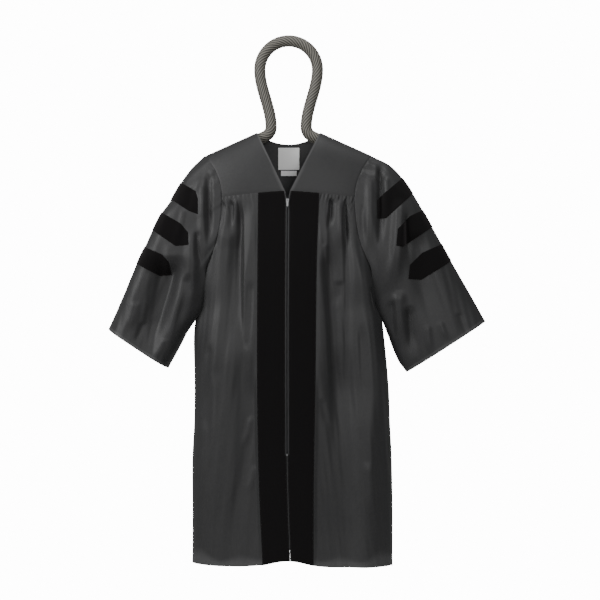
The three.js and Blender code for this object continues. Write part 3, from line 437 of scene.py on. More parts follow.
def armholeEdge(t):
    down = np.maximum(np.cos(t * math.pi / 2), 0) ** sectionPower
    z = mix(seams["underarmZ"], seams["yokeSeamZ"], 1 - down)
    return z, 1 - (1 - seams["armholeShare"]) * np.sin(t * math.pi / 2) ** sectionPower


# A yoke turns over roundly at the shoulder and runs straighter at the back of the neck
def yokeDepth(t, topY):
    turned = np.maximum(np.cos(t * math.pi / 2), 0) ** seams["shoulderPower"]
    return mix(turned, 1 - np.sin(t * math.pi / 2), topY / seams["backNeckDepth"])


def armholeTop(t, sign, face):
    seamZ = np.array([1.0 * seams["yokeSeamZ"]])
    corner = bodyPoint(seamZ, np.array([seams["armholeShare"]]), sign, face)[0]
    rise = np.sin(t * math.pi / 2)
    x = mix(corner[0], sign * shoulderPoint[0], rise * rise)
    z = mix(seams["yokeSeamZ"], shoulderPoint[2], rise)
    return np.stack([x, corner[1] * yokeDepth(t, 0), z], axis=-1)


def evenSteps(count):
    t = np.linspace(0, 1, density["armholeTrace"])
    z, q = armholeEdge(t)
    line = sectionPoint(z, q, 1, -1)
    length = lengthsAlong(line, 0)
    return np.interp(np.linspace(0, length[-1], count + 1), length, t)


armSteps = evenSteps(density["besideArm"])
yokeSteps = np.linspace(0, 1, density["yoke"] + 1)
yokeHeights = np.sin(yokeSteps * math.pi / 2)
below = np.linspace(0, zipper["stopZ"], density["belowStop"], endpoint=False)
above = np.linspace(zipper["stopZ"], seams["underarmZ"], density["aboveStop"], endpoint=False)
armZ, armQ = armholeEdge(armSteps)
rowsBelowArm = len(below) + len(above)
besideArm = np.linspace(seams["underarmZ"], seams["yokeSeamZ"], len(armSteps))
rowMiddleZ = np.concatenate([below, above, besideArm])
rowEdgeZ = np.concatenate([below, above, armZ])
rowEdgeQ = np.concatenate([np.ones(rowsBelowArm), armQ])


# Height of each place on a row: the hem's curve fades upwards, the yoke seam's downwards
def rowHeight(q, sign, face, hemSpread, seamRise):
    edge = rowEdgeQ[:, None]
    share = np.clip(q / edge, 0, 1)
    z = mix(rowMiddleZ[:, None], rowEdgeZ[:, None], share ** rowFades["edge"])
    x = sectionPoint(z, q, sign, face)[..., 0] * hemSpread
    bow = hemLine["rise"] * np.exp(-(x / hemLine["riseWidth"]) ** 2)
    lift = bow - hemLine["drop"] - hemLine["slant"] * x
    up = np.clip(z / seams["underarmZ"], 0, 1)
    along = np.clip((z - seams["underarmZ"]) / (seams["yokeSeamZ"] - seams["underarmZ"]), 0, 1)
    return z + lift * (1 - up) ** rowFades["hem"] + seamRise * along * (1 - share)


def frontGap(z):
    seamTop = seams["yokeSeamZ"] + seams["yokeRise"]
    aboveSlider = np.clip((z - zipper["sliderZ"]) / (seamTop - zipper["sliderZ"]), 0, 1)
    opened = mix(zipper["openHalf"], zipper["openHalfTop"], aboveSlider)
    return np.where(z < zipper["stopZ"], zipper["closedHalf"], opened)


frontShares = np.concatenate([
    np.linspace(0, shares["lip"], density["lip"], endpoint=False),
    np.linspace(shares["lip"], shares["velvet"], density["velvet"], endpoint=False),
    np.linspace(shares["velvet"], 1, density["front"] + 1),
])


def frontPanelGrid(side):
    sign = sideSign[side]
    middle = rowHeight(np.zeros((len(rowEdgeQ), 1)), sign, -1, 1, seams["yokeRise"])[:, 0]
    centre = readTable(bodySections, "z", "centreShift", middle)
    gap = frontGap(middle)
    lip = np.where(middle < zipper["stopZ"], zipper["sewnEdge"], zipper["foldedEdge"])
    qEdge = sectionQ(middle, centre + sign * gap, sign)
    qLip = sectionQ(middle, centre + sign * (gap + lip), sign)
    qVelvet = sectionQ(middle, sign * readTable(velvetEdges, "z", side, middle), sign)
    known = np.stack([qEdge, qLip, qVelvet, rowEdgeQ], axis=-1)
    marks = [0, shares["lip"], shares["velvet"], 1]
    q = np.stack([np.interp(frontShares, marks, row) for row in known])
    return bodyPoint(rowHeight(q, sign, -1, 1, seams["yokeRise"]), q, sign, -1)


def backPanelGrid():
    columns = 2 * density["shoulder"] + density["neck"]
    across = np.linspace(-1, 1, columns + 1)
    halves = []
    for sign, part in ((-1, across[across < 0]), (1, across[across >= 0])):
        q = np.abs(part)[None, :] * rowEdgeQ[:, None]
        z = rowHeight(q, sign, 1, hemLine["backSpread"], -seams["backDrop"])
        halves.append(bodyPoint(z, q, sign, 1))
    return np.concatenate(halves, axis=1)


# A yoke's grid between its four edges, with the depth of its own turn over the shoulder
def patchGrid(bottom, top, sideA, sideB, places):
    u = places[None, :, None]
    h = yokeHeights[:, None, None]
    along = mix(bottom[None], top[None], h)
    across = mix(sideA[:, None], sideB[:, None], u)
    low = mix(bottom[0], bottom[-1], u)
    high = mix(top[0], top[-1], u)
    grid = along + across - mix(low, high, h)
    topY = top[None, :, 1]
    grid[..., 1] = mix(topY, bottom[None, :, 1], yokeDepth(yokeSteps[:, None], topY))
    return grid


def shoulderSeam(sign, places):
    turn = np.array([sign, 1, 1])
    return mix(neckPoint * turn, shoulderPoint * turn, places[:, None])


def frontYokeGrid(side, panel):
    sign = sideSign[side]
    bottom = panel[-1]
    top = shoulderSeam(sign, frontShares)
    neckEdge = mix(bottom[0], top[0], yokeHeights[:, None])
    neckEdge[:, 1] = bottom[0, 1] * yokeDepth(yokeSteps, 0)
    return patchGrid(bottom, top, neckEdge, armholeTop(yokeSteps, sign, -1), frontShares)


def backYokeGrid(panel):
    bottom = panel[-1]
    angle = math.pi * (1 - np.linspace(0, 1, density["neck"] + 1))
    depth = np.sin(angle)
    neck = np.stack([
        neckPoint[0] * np.cos(angle),
        seams["backNeckDepth"] * np.maximum(depth, 0) ** sectionPower,
        neckPoint[2] - seams["backNeckDrop"] * depth * depth,
    ], axis=-1)
    places = np.linspace(0, 1, density["shoulder"] + 1)
    top = np.concatenate([shoulderSeam(-1, places)[::-1][:-1], neck, shoulderSeam(1, places)[1:]])
    sides = [armholeTop(yokeSteps, sign, 1) for sign in (-1, 1)]
    return patchGrid(bottom, top, sides[0], sides[1], np.linspace(0, 1, len(bottom)))


def armholeRing(sign):
    halves = []
    for face in (-1, 1):
        edge = bodyPoint(armZ[:-1], armQ[:-1], sign, face)
        halves.append(np.concatenate([edge, armholeTop(yokeSteps, sign, face)]))
    return np.concatenate([halves[0], halves[1][1:-1][::-1]])


# At blend of its length a sleeve has its own section, and finer folds lie elsewhere on its back
sleeveForm = {"power": 0.85, "blend": 0.35, "seamFade": 0.12, "edgeFade": 0.35, "backX": 13, "backZ": -36}
sleeveCap = {"seed": 71, "height": 2.6, "spread": 0.8, "spacing": 0.30, "length": 3,
             "reach": 46, "fromSeam": 6}
armpitLobe = {"angle": 0.42, "width": 0.26, "overlap": 14, "follow": 0.25, "gap": 2.5, "most": 17,
              "nearness": 0.45, "startV": 0.02, "highV": 0.12, "lowV": 0.68, "fade": 0.26}


def sleevePoint(side, v, angle):
    line = {column: readTable(sleeveSections[side], "v", column, v) for column in sleeveColumns.split()[1:]}
    c = np.cos(angle)
    s = np.sin(angle)
    up = (1 - np.sign(c) * np.abs(c) ** sleeveForm["power"]) / 2
    x = mix(line["underX"], line["topX"], up)
    z = mix(line["underZ"], line["topZ"], up)
    y = -line["halfDepth"] * np.sign(s) * np.abs(s) ** sleeveForm["power"]
    return np.stack(np.broadcast_arrays(sideSign[side] * x, y, z), axis=-1)


# Angles round the sleeve, from under the arm over the front, as the armhole's points lie
def sleeveAngles(ring):
    half = len(ring) // 2
    lengths = lengthsAlong(ring[:half + 1], 0)
    front = math.pi * lengths / lengths[-1]
    return np.concatenate([front, 2 * math.pi - front[1:-1][::-1]])[None, :]


def sleeveGrid(side):
    sign = sideSign[side]
    ring = armholeRing(sign)
    angles = sleeveAngles(ring)
    v = np.linspace(0, 1, density["sleeve"] + 1)[:, None]
    blend = 1 - smooth(v / sleeveForm["blend"])
    offset = ring[None] - sleevePoint(side, np.zeros_like(angles), angles)
    plain = sleevePoint(side, v, angles) + offset * blend[..., None]
    normals, _ = gridNormals(plain, True)
    x = np.abs(plain[..., 0])
    z = plain[..., 2]
    main, finer = sleeveFolds[side][:mainFolds], sleeveFolds[side][mainFolds:]
    onBack = foldSum(finer, x + sleeveForm["backX"], z + sleeveForm["backZ"])
    height = foldSum(main, x, z) + np.where(np.sin(angles) > 0, foldSum(finer, x, z), onBack)
    height = height + rippleSum("sleeve", sign, x, z)
    fromEdges = smooth(np.abs(np.sin(angles)) / sleeveForm["edgeFade"])
    height = height * smooth(v / sleeveForm["seamFade"]) * fromEdges
    height = height + capGathers(plain, angles, v, sign)
    grid = plain + normals * height[..., None]
    closeArmpit(grid, angles[0], v[:, 0], sign)
    return grid


# Pleats that fan out from the top of the armhole
def capGathers(plain, angles, v, sign):
    fromSeam = lengthsAlong(plain, 0)
    fromTop = (angles - math.pi) / sleeveCap["spread"]
    around, along = np.broadcast_arrays(angles, v)
    pleats = softRipple(sleeveCap["seed"] + sign, around, along, sleeveCap["spacing"], sleeveCap["length"])
    near = np.exp(-fromTop ** 2 - fromSeam / sleeveCap["reach"])
    return sleeveCap["height"] * pleats * near * smooth(fromSeam / sleeveCap["fromSeam"])


# Below the armpit the sleeve's inner edge hangs against the body's side, with a fold before
# and behind it
def closeArmpit(grid, angles, v, sign):
    lobe = armpitLobe
    middle = int(np.argmin(np.abs(np.sin(angles / 2))))
    edge = sign * grid[:, middle, 0]
    z = grid[:, middle, 2]
    shift = readTable(bodySections, "z", "sideShift", z)
    side = readTable(bodySections, "z", "halfWidth", z) + sign * shift
    hang = smooth((v - lobe["startV"]) / lobe["highV"]) * smooth((lobe["lowV"] - v) / lobe["fade"])
    move = np.clip(edge - side - lobe["gap"], 0, lobe["most"]) * hang
    near = np.exp(-(np.sin(angles / 2) / lobe["nearness"]) ** 2)
    lobes = sum(np.exp(-((angles - centre) / lobe["width"]) ** 2)
                for centre in (lobe["angle"], 2 * math.pi - lobe["angle"]))
    outward = (lobe["overlap"] + lobe["follow"] * move) * hang
    grid[..., 0] -= sign * (move[:, None] * near + outward[:, None] * lobes)


# Outward directions at a grid's points, and whether its faces need turning over
def gridNormals(grid, isRound):
    along = np.gradient(grid, axis=0)
    if isRound:
        across = np.roll(grid, -1, axis=1) - np.roll(grid, 1, axis=1)
        away = grid - grid.mean(axis=1, keepdims=True)
    else:
        across = np.gradient(grid, axis=1)
        away = grid * np.array([1, 1, 0])
    normals = np.cross(across, along)
    normals = normals / np.maximum(np.linalg.norm(normals, axis=-1, keepdims=True), 1e-9)
    turned = np.sum(np.sign(np.sum(away * normals, axis=-1))) < 0
    return (-normals if turned else normals), turned


print("stage: materials")


def makeGroup(name, inputs, outputs, kind="ShaderNodeTree"):
    group = bpy.data.node_groups.new(name, kind)
    for label, socketKind, value in inputs:
        socket = group.interface.new_socket(name=label, in_out="INPUT", socket_type=socketKind)
        if value is not None:
            socket.default_value = value
    for label, socketKind in outputs:
        group.interface.new_socket(name=label, in_out="OUTPUT", socket_type=socketKind)
    return group, group.nodes.new("NodeGroupInput"), group.nodes.new("NodeGroupOutput")


# Joins a socket to another one, or sets its value
def feed(tree, socket, value):
    if isinstance(value, bpy.types.NodeSocket):
        tree.links.new(value, socket)
    else:
        socket.default_value = value


def mathNode(tree, operation, *values):
    node = tree.nodes.new("ShaderNodeMath")
    node.operation = operation
    for socket, value in zip(node.inputs, values):
        feed(tree, socket, value)
    return node.outputs[0]


# Rises from 0 to 1 and falls back over each whole step of a value
def waveNode(tree, value):
    return mathNode(tree, "ABSOLUTE", mathNode(tree, "SINE", mathNode(tree, "MULTIPLY", value, math.pi)))


weaveForm = {"stagger": 2.0, "roundness": 0.35, "fuzzScale": 900}
mottleDetail = 3


# Threads: floats of warp that pass over the weft, staggered from row to row
def makeWeaveGroup():
    group, source, result = makeGroup(
        "clothWeave",
        [("Coordinate", "NodeSocketVector", None), ("Thread Spacing", "NodeSocketFloat", 0.0004),
         ("Float Length", "NodeSocketFloat", 5.0), ("Unevenness", "NodeSocketFloat", 0.3)],
        [("Height", "NodeSocketFloat"), ("Thread", "NodeSocketFloat")])
    links = group.links
    split = group.nodes.new("ShaderNodeSeparateXYZ")
    links.new(source.outputs["Coordinate"], split.inputs[0])
    across = mathNode(group, "DIVIDE", split.outputs["X"], source.outputs["Thread Spacing"])
    along = mathNode(group, "DIVIDE", split.outputs["Y"], source.outputs["Thread Spacing"])
    stagger = mathNode(group, "MULTIPLY", mathNode(group, "FLOOR", across), weaveForm["stagger"])
    staggered = mathNode(group, "ADD", along, stagger)
    place = mathNode(group, "DIVIDE", staggered, source.outputs["Float Length"])
    thread = waveNode(group, across)
    shaped = mathNode(group, "POWER", waveNode(group, place), weaveForm["roundness"])
    noise = group.nodes.new("ShaderNodeTexNoise")
    links.new(source.outputs["Coordinate"], noise.inputs["Vector"])
    noise.inputs["Scale"].default_value = weaveForm["fuzzScale"]
    uneven = mathNode(group, "MULTIPLY", noise.outputs["Fac"], source.outputs["Unevenness"])
    height = mathNode(group, "ADD", mathNode(group, "MULTIPLY", thread, shaped), uneven)
    links.new(height, result.inputs["Height"])
    links.new(thread, result.inputs["Thread"])
    return group


# Large soft patches with finer ones over them, for colour and gloss that vary a little
def makeMottleGroup():
    group, source, result = makeGroup(
        "softMottle",
        [("Coordinate", "NodeSocketVector", None), ("Patch Scale", "NodeSocketFloat", 9.0),
         ("Fine Scale", "NodeSocketFloat", 120.0), ("Fine Share", "NodeSocketFloat", 0.35)],
        [("Value", "NodeSocketFloat")])
    parts = []
    for label in ("Patch Scale", "Fine Scale"):
        noise = group.nodes.new("ShaderNodeTexNoise")
        noise.inputs["Detail"].default_value = mottleDetail
        group.links.new(source.outputs["Coordinate"], noise.inputs["Vector"])
        group.links.new(source.outputs[label], noise.inputs["Scale"])
        parts.append(noise.outputs["Fac"])
    fineShare = source.outputs["Fine Share"]
    large = mathNode(group, "MULTIPLY", parts[0], mathNode(group, "SUBTRACT", 1.0, fineShare))
    fine = mathNode(group, "MULTIPLY", parts[1], fineShare)
    group.links.new(mathNode(group, "ADD", large, fine), result.inputs["Value"])
    return group


weaveGroup = makeWeaveGroup()
mottleGroup = makeMottleGroup()


# A material with its own Principled BSDF, and short ways to feed it
class Finish:
    def __init__(self, name, plain):
        self.material = bpy.data.materials.new(name)
        self.material.use_nodes = True
        self.tree = self.material.node_tree
        self.shader = self.tree.nodes["Principled BSDF"]
        for label, value in plain.items():
            self.shader.inputs[label].default_value = value
        self.place = self.tree.nodes.new("ShaderNodeTexCoord")

    def link(self, a, b):
        self.tree.links.new(a, b)

    def group(self, group, coordinate, values):
        node = self.tree.nodes.new("ShaderNodeGroup")
        node.node_tree = group
        self.link(self.place.outputs[coordinate], node.inputs["Coordinate"])
        for label, value in values.items():
            node.inputs[label].default_value = value
        return node

    # The soft patches of the cloth or metal, with finer ones over them
    def patches(self, patchScale, fineScale, fineShare=0.35):
        values = {"Patch Scale": patchScale, "Fine Scale": fineScale, "Fine Share": fineShare}
        return self.group(mottleGroup, "Object", values).outputs["Value"]

    def mixColour(self, factor, dark, light):
        blend = self.tree.nodes.new("ShaderNodeMix")
        blend.data_type = "RGBA"
        self.link(factor, blend.inputs["Factor"])
        for socket, value in ((blend.inputs[6], dark), (blend.inputs[7], light)):  # the colours A and B
            feed(self.tree, socket, (*value, 1) if isinstance(value, tuple) else value)
        return blend.outputs[2]

    def spread(self, factor, low, high, fromLow=0.3, fromHigh=0.7):
        node = self.tree.nodes.new("ShaderNodeMapRange")
        self.link(factor, node.inputs["Value"])
        node.inputs["From Min"].default_value = fromLow
        node.inputs["From Max"].default_value = fromHigh
        node.inputs["To Min"].default_value = low
        node.inputs["To Max"].default_value = high
        return node.outputs["Result"]

    # Colour and roughness that follow one value from its low to its high end
    def colour(self, factor, dark, light):
        self.link(self.mixColour(factor, dark, light), self.shader.inputs["Base Color"])

    def roughness(self, factor, low, high):
        self.link(self.spread(factor, low, high), self.shader.inputs["Roughness"])

    def bump(self, height, strength, distance):
        node = self.tree.nodes.new("ShaderNodeBump")
        node.inputs["Strength"].default_value = strength
        node.inputs["Distance"].default_value = distance
        self.link(height, node.inputs["Height"])
        self.link(node.outputs["Normal"], self.shader.inputs["Normal"])

    def attribute(self, name):
        node = self.tree.nodes.new("ShaderNodeAttribute")
        node.attribute_name = name
        return node.outputs["Fac"]


# The hem colour is not a dye: it is the colour of the painted light along folded edges and above the hem
satinLook = {
    "dark": (0.0185, 0.0185, 0.0192), "light": (0.0240, 0.0240, 0.0247), "hem": (0.058, 0.058, 0.059),
    "roughness": (0.49, 0.57), "patches": (6, 90), "thread": 0.00035, "float": 5.0, "bump": (0.25, 0.00012),
}
velvetLook = {
    "dark": (0.0015, 0.0012, 0.0013), "light": (0.0033, 0.0027, 0.0029), "sheen": (0.32, 0.29, 0.30),
    "roughness": (0.86, 1.0), "patches": (22, 1400, 0.5), "bump": (0.7, 0.0006),
}
# The groove colour is the painted shade down in the ribs' grooves
tubeLook = {
    "groove": (0.03, 0.029, 0.026), "dark": (0.15, 0.142, 0.122), "light": (0.20, 0.19, 0.166),
    "grooveShadeEnds": (-0.62, -0.12), "roughness": (0.5, 0.62), "patches": (14, 260), "bump": (0.2, 0.0001),
}
wovenLook = {"patches": (30, 300), "float": 2.0, "roughnessSpread": 0.06, "bump": (0.4, 0.0002)}
hardLook = {"roughnessSpread": 0.07, "bumpStrength": 0.2}


def makeSatin(look):
    plain = {"Sheen Weight": 0.08, "Sheen Roughness": 0.4, "Specular IOR Level": 0.36}
    finish = Finish("charcoalSatin", plain)
    patches = finish.patches(*look["patches"])
    base = finish.mixColour(finish.spread(patches, 0, 1), look["dark"], look["light"])
    # Painted light: the satin turns towards the hem colour where highlights on folded edges and light
    # through the cloth above the hem are painted
    finish.colour(finish.attribute("paintedEdgeLight"), base, look["hem"])
    finish.roughness(patches, *look["roughness"])
    values = {"Thread Spacing": look["thread"], "Float Length": look["float"]}
    weave = finish.group(weaveGroup, "UV", values)
    finish.bump(weave.outputs["Height"], *look["bump"])
    return finish.material


def makeVelvet(look):
    plain = {"Sheen Weight": 0.30, "Sheen Roughness": 0.45, "Specular IOR Level": 0.15}
    finish = Finish("blackVelvet", plain)
    finish.shader.inputs["Sheen Tint"].default_value = (*look["sheen"], 1)
    nap = finish.patches(*look["patches"])
    finish.colour(finish.spread(nap, 0, 1), look["dark"], look["light"])
    finish.roughness(nap, *look["roughness"])
    finish.bump(nap, *look["bump"])
    return finish.material


# Painted shade: darker down in the grooves, which the tube's own attribute marks
def makeTube(look):
    finish = Finish("ribbedTube", {"Specular IOR Level": 0.35})
    patches = finish.patches(*look["patches"])
    rib = finish.mixColour(finish.spread(patches, 0, 1), look["dark"], look["light"])
    outOfGroove = finish.spread(finish.attribute("grooveShadeMask"), 0, 1, *look["grooveShadeEnds"])
    finish.colour(outOfGroove, look["groove"], rib)
    finish.roughness(patches, *look["roughness"])
    finish.bump(patches, *look["bump"])
    return finish.material


def makeWoven(name, dark, light, thread, roughness, sheen):
    finish = Finish(name, {"Sheen Weight": sheen, "Specular IOR Level": 0.3})
    values = {"Thread Spacing": thread, "Float Length": wovenLook["float"]}
    weave = finish.group(weaveGroup, "Object", values)
    finish.colour(finish.spread(weave.outputs["Thread"], 0, 1, 0, 1), dark, light)
    spread = wovenLook["roughnessSpread"]
    finish.roughness(finish.patches(*wovenLook["patches"]), roughness - spread, roughness + spread)
    finish.bump(weave.outputs["Height"], *wovenLook["bump"])
    return finish.material


def makeHard(name, dark, light, roughness, metallic, patch, fine, bumpDistance):
    finish = Finish(name, {"Metallic": metallic})
    patches = finish.patches(patch, fine)
    spread = hardLook["roughnessSpread"]
    finish.colour(finish.spread(patches, 0, 1), dark, light)
    finish.roughness(patches, roughness - spread, roughness + spread)
    finish.bump(patches, hardLook["bumpStrength"], bumpDistance)
    return finish.material


materials = {
    "satin": makeSatin(satinLook), "velvet": makeVelvet(velvetLook), "hanger_tube": makeTube(tubeLook),
}
wovens = table("slot name dark light thread roughness sheen", [
    ("zip_tape", "zipTape", (0.006, 0.006, 0.0065), (0.016, 0.016, 0.017), 0.0006, 0.85, 0.1),
    ("label", "labelCloth", (0.86, 0.86, 0.85), (0.95, 0.95, 0.94), 0.0004, 0.7, 0.1),
    ("thread", "sewingThread", (0.020, 0.020, 0.021), (0.045, 0.045, 0.047), 0.0002, 0.6, 0.2),
    ("dark_thread", "velvetThread", (0.006, 0.0056, 0.0058), (0.012, 0.011, 0.0114), 0.0002, 0.6, 0.2),
    ("white_thread", "labelThread", (0.55, 0.55, 0.54), (0.72, 0.72, 0.71), 0.0002, 0.6, 0.1),
])
hards = table("slot name dark light roughness metallic patch fine bumpDistance", [
    ("zip_teeth", "coilTeeth", (0.010, 0.010, 0.012), (0.022, 0.022, 0.026), 0.38, 0, 200, 900, 0.00004),
    ("zip_metal", "nickel", (0.17, 0.17, 0.173), (0.25, 0.25, 0.254), 0.36, 1, 120, 700, 0.00003),
])
for rows, make in ((wovens, makeWoven), (hards, makeHard)):
    for row in rows:
        slot = row.pop("slot")
        materials[slot] = make(**row)

print("stage: cloth pieces")


def toMetres(points):
    return (points - np.array([0, 0, hangHeight])) * mm


def gridFaces(rows, columns, isRound, start, turned):
    spans = columns if isRound else columns - 1
    i, j = np.meshgrid(np.arange(rows - 1), np.arange(spans), indexing="ij")
    right = (j + 1) % columns
    low = i * columns
    high = low + columns
    quads = np.stack([low + j, low + right, high + right, high + j], axis=-1).reshape(-1, 4) + start
    return quads[:, ::-1] if turned else quads


# Faces that close the wall's edges, between its outer and inner points
def rimFaces(rows, columns, isRound, turned):
    inner = rows * columns
    j = np.arange(columns if isRound else columns - 1)
    right = (j + 1) % columns
    last = (rows - 1) * columns
    lines = [(right, j), (last + j, last + right)]
    if not isRound:
        i = np.arange(rows - 1)
        lines.append((i * columns, (i + 1) * columns))
        lines.append(((i + 1) * columns + columns - 1, i * columns + columns - 1))
    quads = np.concatenate([np.stack([a, b, b + inner, a + inner], axis=-1) for a, b in lines])
    return quads[:, ::-1] if turned else quads


creaseAngle = math.radians(55)


def meshFrom(name, points, faces):
    mesh = bpy.data.meshes.new(name)
    mesh.from_pydata(toMetres(points).tolist(), [], faces)
    mesh.update()
    mesh.polygons.foreach_set("use_smooth", np.ones(len(mesh.polygons), dtype=bool))
    mesh.set_sharp_from_angle(angle=creaseAngle)
    return mesh


# The cloth's own lengths as its UV map, and how much lighter an edge's band is at each point: painted
# light, made of painted highlights on folded edges and light through the single cloth above the hem
def markCloth(mesh, uv, band):
    layer = mesh.uv_layers.new(name="cloth")
    index = np.empty(len(mesh.loops), dtype=np.int32)
    mesh.loops.foreach_get("vertex_index", index)
    layer.data.foreach_set("uv", uv[index].astype(np.float32).ravel())
    store = mesh.attributes.new("paintedEdgeLight", "FLOAT", "POINT")
    store.data.foreach_set("value", band.astype(np.float32))


def addObject(name, mesh, slot, replaced=()):
    piece = bpy.data.objects.new(name, mesh)
    bpy.context.scene.collection.objects.link(piece)
    if not mesh.materials:
        mesh.materials.append(materials[slot])
    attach(piece, "gown")
    if replaced:
        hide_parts(*replaced)
    return piece


# Widest row, longest line up and area of a cloth, in metres
def sheetSize(grid, isRound):
    closed = np.concatenate([grid, grid[:, :1]], axis=1) if isRound else grid
    width = lengthsAlong(closed, 1)[:, -1].max() * mm
    length = lengthsAlong(closed, 0)[-1].max() * mm
    a = closed[1:, 1:] - closed[:-1, :-1]
    b = closed[1:, :-1] - closed[:-1, 1:]
    area = 0.5 * np.linalg.norm(np.cross(a, b), axis=-1).sum() * mm * mm
    return width, length, area


sheetSizes = {}


def declareSheet(name, flat, area):
    sheetSizes[name] = [round(size, 3) for size in flat] + [round(area, 4)]


# A wall of cloth under the outer points, or down to the inner ones where they are given
def addCloth(name, outer, slot, settings, isRound=False, inner=None, hem=None):
    normals, turned = gridNormals(outer, isRound)
    if inner is None:
        inner = outer - normals * settings["thickness"]
    rows, columns = outer.shape[:2]
    uv = np.stack([lengthsAlong(outer, 1), lengthsAlong(outer, 0)], axis=-1).reshape(-1, 2) * mm
    # hem carries the painted light along the piece's edges, stored on the mesh for the satin's colour
    band = np.zeros((rows, columns)) if hem is None else hem
    faces = np.concatenate([
        gridFaces(rows, columns, isRound, 0, turned),
        gridFaces(rows, columns, isRound, rows * columns, not turned),
        rimFaces(rows, columns, isRound, turned),
    ])
    points = np.concatenate([outer.reshape(-1, 3), inner.reshape(-1, 3)])
    mesh = meshFrom(name, points, faces.tolist())
    markCloth(mesh, np.concatenate([uv, uv]), np.tile(band.ravel(), 2))
    piece = addObject(name + "_cloth", mesh, slot, replaced=(name,))
    width, length, area = sheetSize(outer, isRound)
    area = min(area, width * length)
    declareSheet(name, (width, length), area)


panelCloth = {"thickness": 1.2, "held": "hung"}
velvetCloth = {"thickness": 1.5, "gap": 0.3, "edgeRise": 0.8, "held": "laid"}
seamGroove = {"depth": 0.5, "width": 2.4}
seamTuck = {"length": 2.2, "depth": 1.0}
# The last value is the strength of the painted highlight on the folded hem and cuffs
hemFold = {"width": 9, "softness": 1.5, "height": 0.45, "paintedHighlight": 0.55}
# Settings of the painted light that comes through the single cloth above the hem
paintedHemLight = {"height": 26, "least": 8, "unevenness": 12, "spacing": 240, "length": 100,
             "strength": 0.75, "fadeFrom": 0.4, "seed": 81}
# Width and strength of the painted highlight along the folded neck edge
neckEdgeHighlight = {"width": 4.5, "paintedHighlight": 0.8}
gathers = {"spacing": 13.3, "length": 130, "height": 1.0, "reach": 22, "fromSeam": 5}
gatherSeeds = {"right": 40, "left": 42, "back": 47}


# Distance of each point from one edge of its piece, along the cloth
def distanceFrom(grid, edge):
    if edge in ("bottom", "top"):
        length = lengthsAlong(grid, 0)
        return length if edge == "bottom" else length[-1:] - length
    length = lengthsAlong(grid, 1)
    return length if edge == "first" else length[:, -1:] - length


# 1 in a band along an edge and 0 past it
def bandAlong(away, width):
    return 1 - smooth((away - width) / hemFold["softness"] + 0.5)


# Sinks the cloth into its seams, and ripples it under its top edge where that is gathered
def dressEdges(grid, isRound, seamEdges, gatherSeed=None):
    normals, _ = gridNormals(grid, isRound)
    height = np.zeros(grid.shape[:2])
    for edge in seamEdges:
        away = distanceFrom(grid, edge)
        height = height - seamGroove["depth"] * np.exp(-(away / seamGroove["width"]) ** 2)
    if gatherSeed is not None:
        away = distanceFrom(grid, "top")
        ripple = softRipple(gatherSeed, lengthsAlong(grid, 1), away, gathers["spacing"], gathers["length"])
        fade = np.exp(-away / gathers["reach"]) * smooth(away / gathers["fromSeam"])
        height = height + gathers["height"] * ripple * fade
    return grid + normals * height[..., None]


# Raises a band along an edge, and gives the folded edge a painted highlight
def foldedEdge(grid, isRound, edge):
    normals, _ = gridNormals(grid, isRound)
    band = bandAlong(distanceFrom(grid, edge), hemFold["width"])
    return grid + normals * (band * hemFold["height"])[..., None], band * hemFold["paintedHighlight"]


# Painted light above the turned hem, where light comes through the single cloth, up to an uneven height
def paintedLightAboveHem(grid):
    away = distanceFrom(grid, "bottom")
    along = lengthsAlong(grid, 1)
    ripple = softRipple(paintedHemLight["seed"], along, 0 * along, paintedHemLight["spacing"], paintedHemLight["length"])
    reach = np.maximum(paintedHemLight["height"] + paintedHemLight["unevenness"] * ripple, paintedHemLight["least"])
    return paintedHemLight["strength"] * (1 - smooth(away / reach - paintedHemLight["fadeFrom"]))


def dressPanel(grid, seamEdges, gatherSeed):
    grid = dressEdges(grid, False, seamEdges, gatherSeed)
    lightThroughCloth = paintedLightAboveHem(grid)
    grid, band = foldedEdge(grid, False, "bottom")
    # Whichever is more: the painted highlight on the folded hem or the painted light above it
    return grid, np.maximum(band, lightThroughCloth)


frontGrids = {}
outerFront = {}
for side in ("right", "left"):
    frontGrids[side] = frontPanelGrid(side)
    outerFront[side], band = dressPanel(frontGrids[side], ("last", "top"), gatherSeeds[side])
    addCloth("front_panel_" + side, outerFront[side], "satin", panelCloth, hem=band)
    yoke = dressEdges(frontYokeGrid(side, frontGrids[side]), False, ("bottom", "last", "top"))
    # Painted highlight along the folded neck edge of the yoke
    paintedNeckHighlight = neckEdgeHighlight["paintedHighlight"] * bandAlong(distanceFrom(yoke, "first"), neckEdgeHighlight["width"])
    addCloth("front_yoke_" + side, yoke, "satin", panelCloth, hem=paintedNeckHighlight)

backGrid = backPanelGrid()
backDressed, backBand = dressPanel(backGrid, ("first", "last", "top"), gatherSeeds["back"])
for column in (0, -1):  # below the arms the back's edges lie under the fronts'
    edge = backDressed[:rowsBelowArm, column]
    edge += np.array([-np.sign(edge[0, 0]) * seamTuck["depth"], -seamTuck["length"], 0])
addCloth("back_panel", backDressed, "satin", panelCloth, hem=backBand)
backYoke = dressEdges(backYokeGrid(backGrid), False, ("bottom", "first", "last"))
addCloth("back_yoke", backYoke, "satin", panelCloth)

sleeveOuter = {}
for side in ("right", "left"):
    grid = dressEdges(sleeveGrid(side), True, ("bottom",))
    normals, _ = gridNormals(grid, True)
    upArm = grid[0] - grid[1]
    upArm = upArm / np.linalg.norm(upArm, axis=-1, keepdims=True)
    grid[0] += upArm * seamTuck["length"] - normals[0] * seamTuck["depth"]
    sleeveOuter[side], band = foldedEdge(grid, True, "top")
    addCloth("sleeve_" + side, sleeveOuter[side], "satin", panelCloth, isRound=True, hem=band)

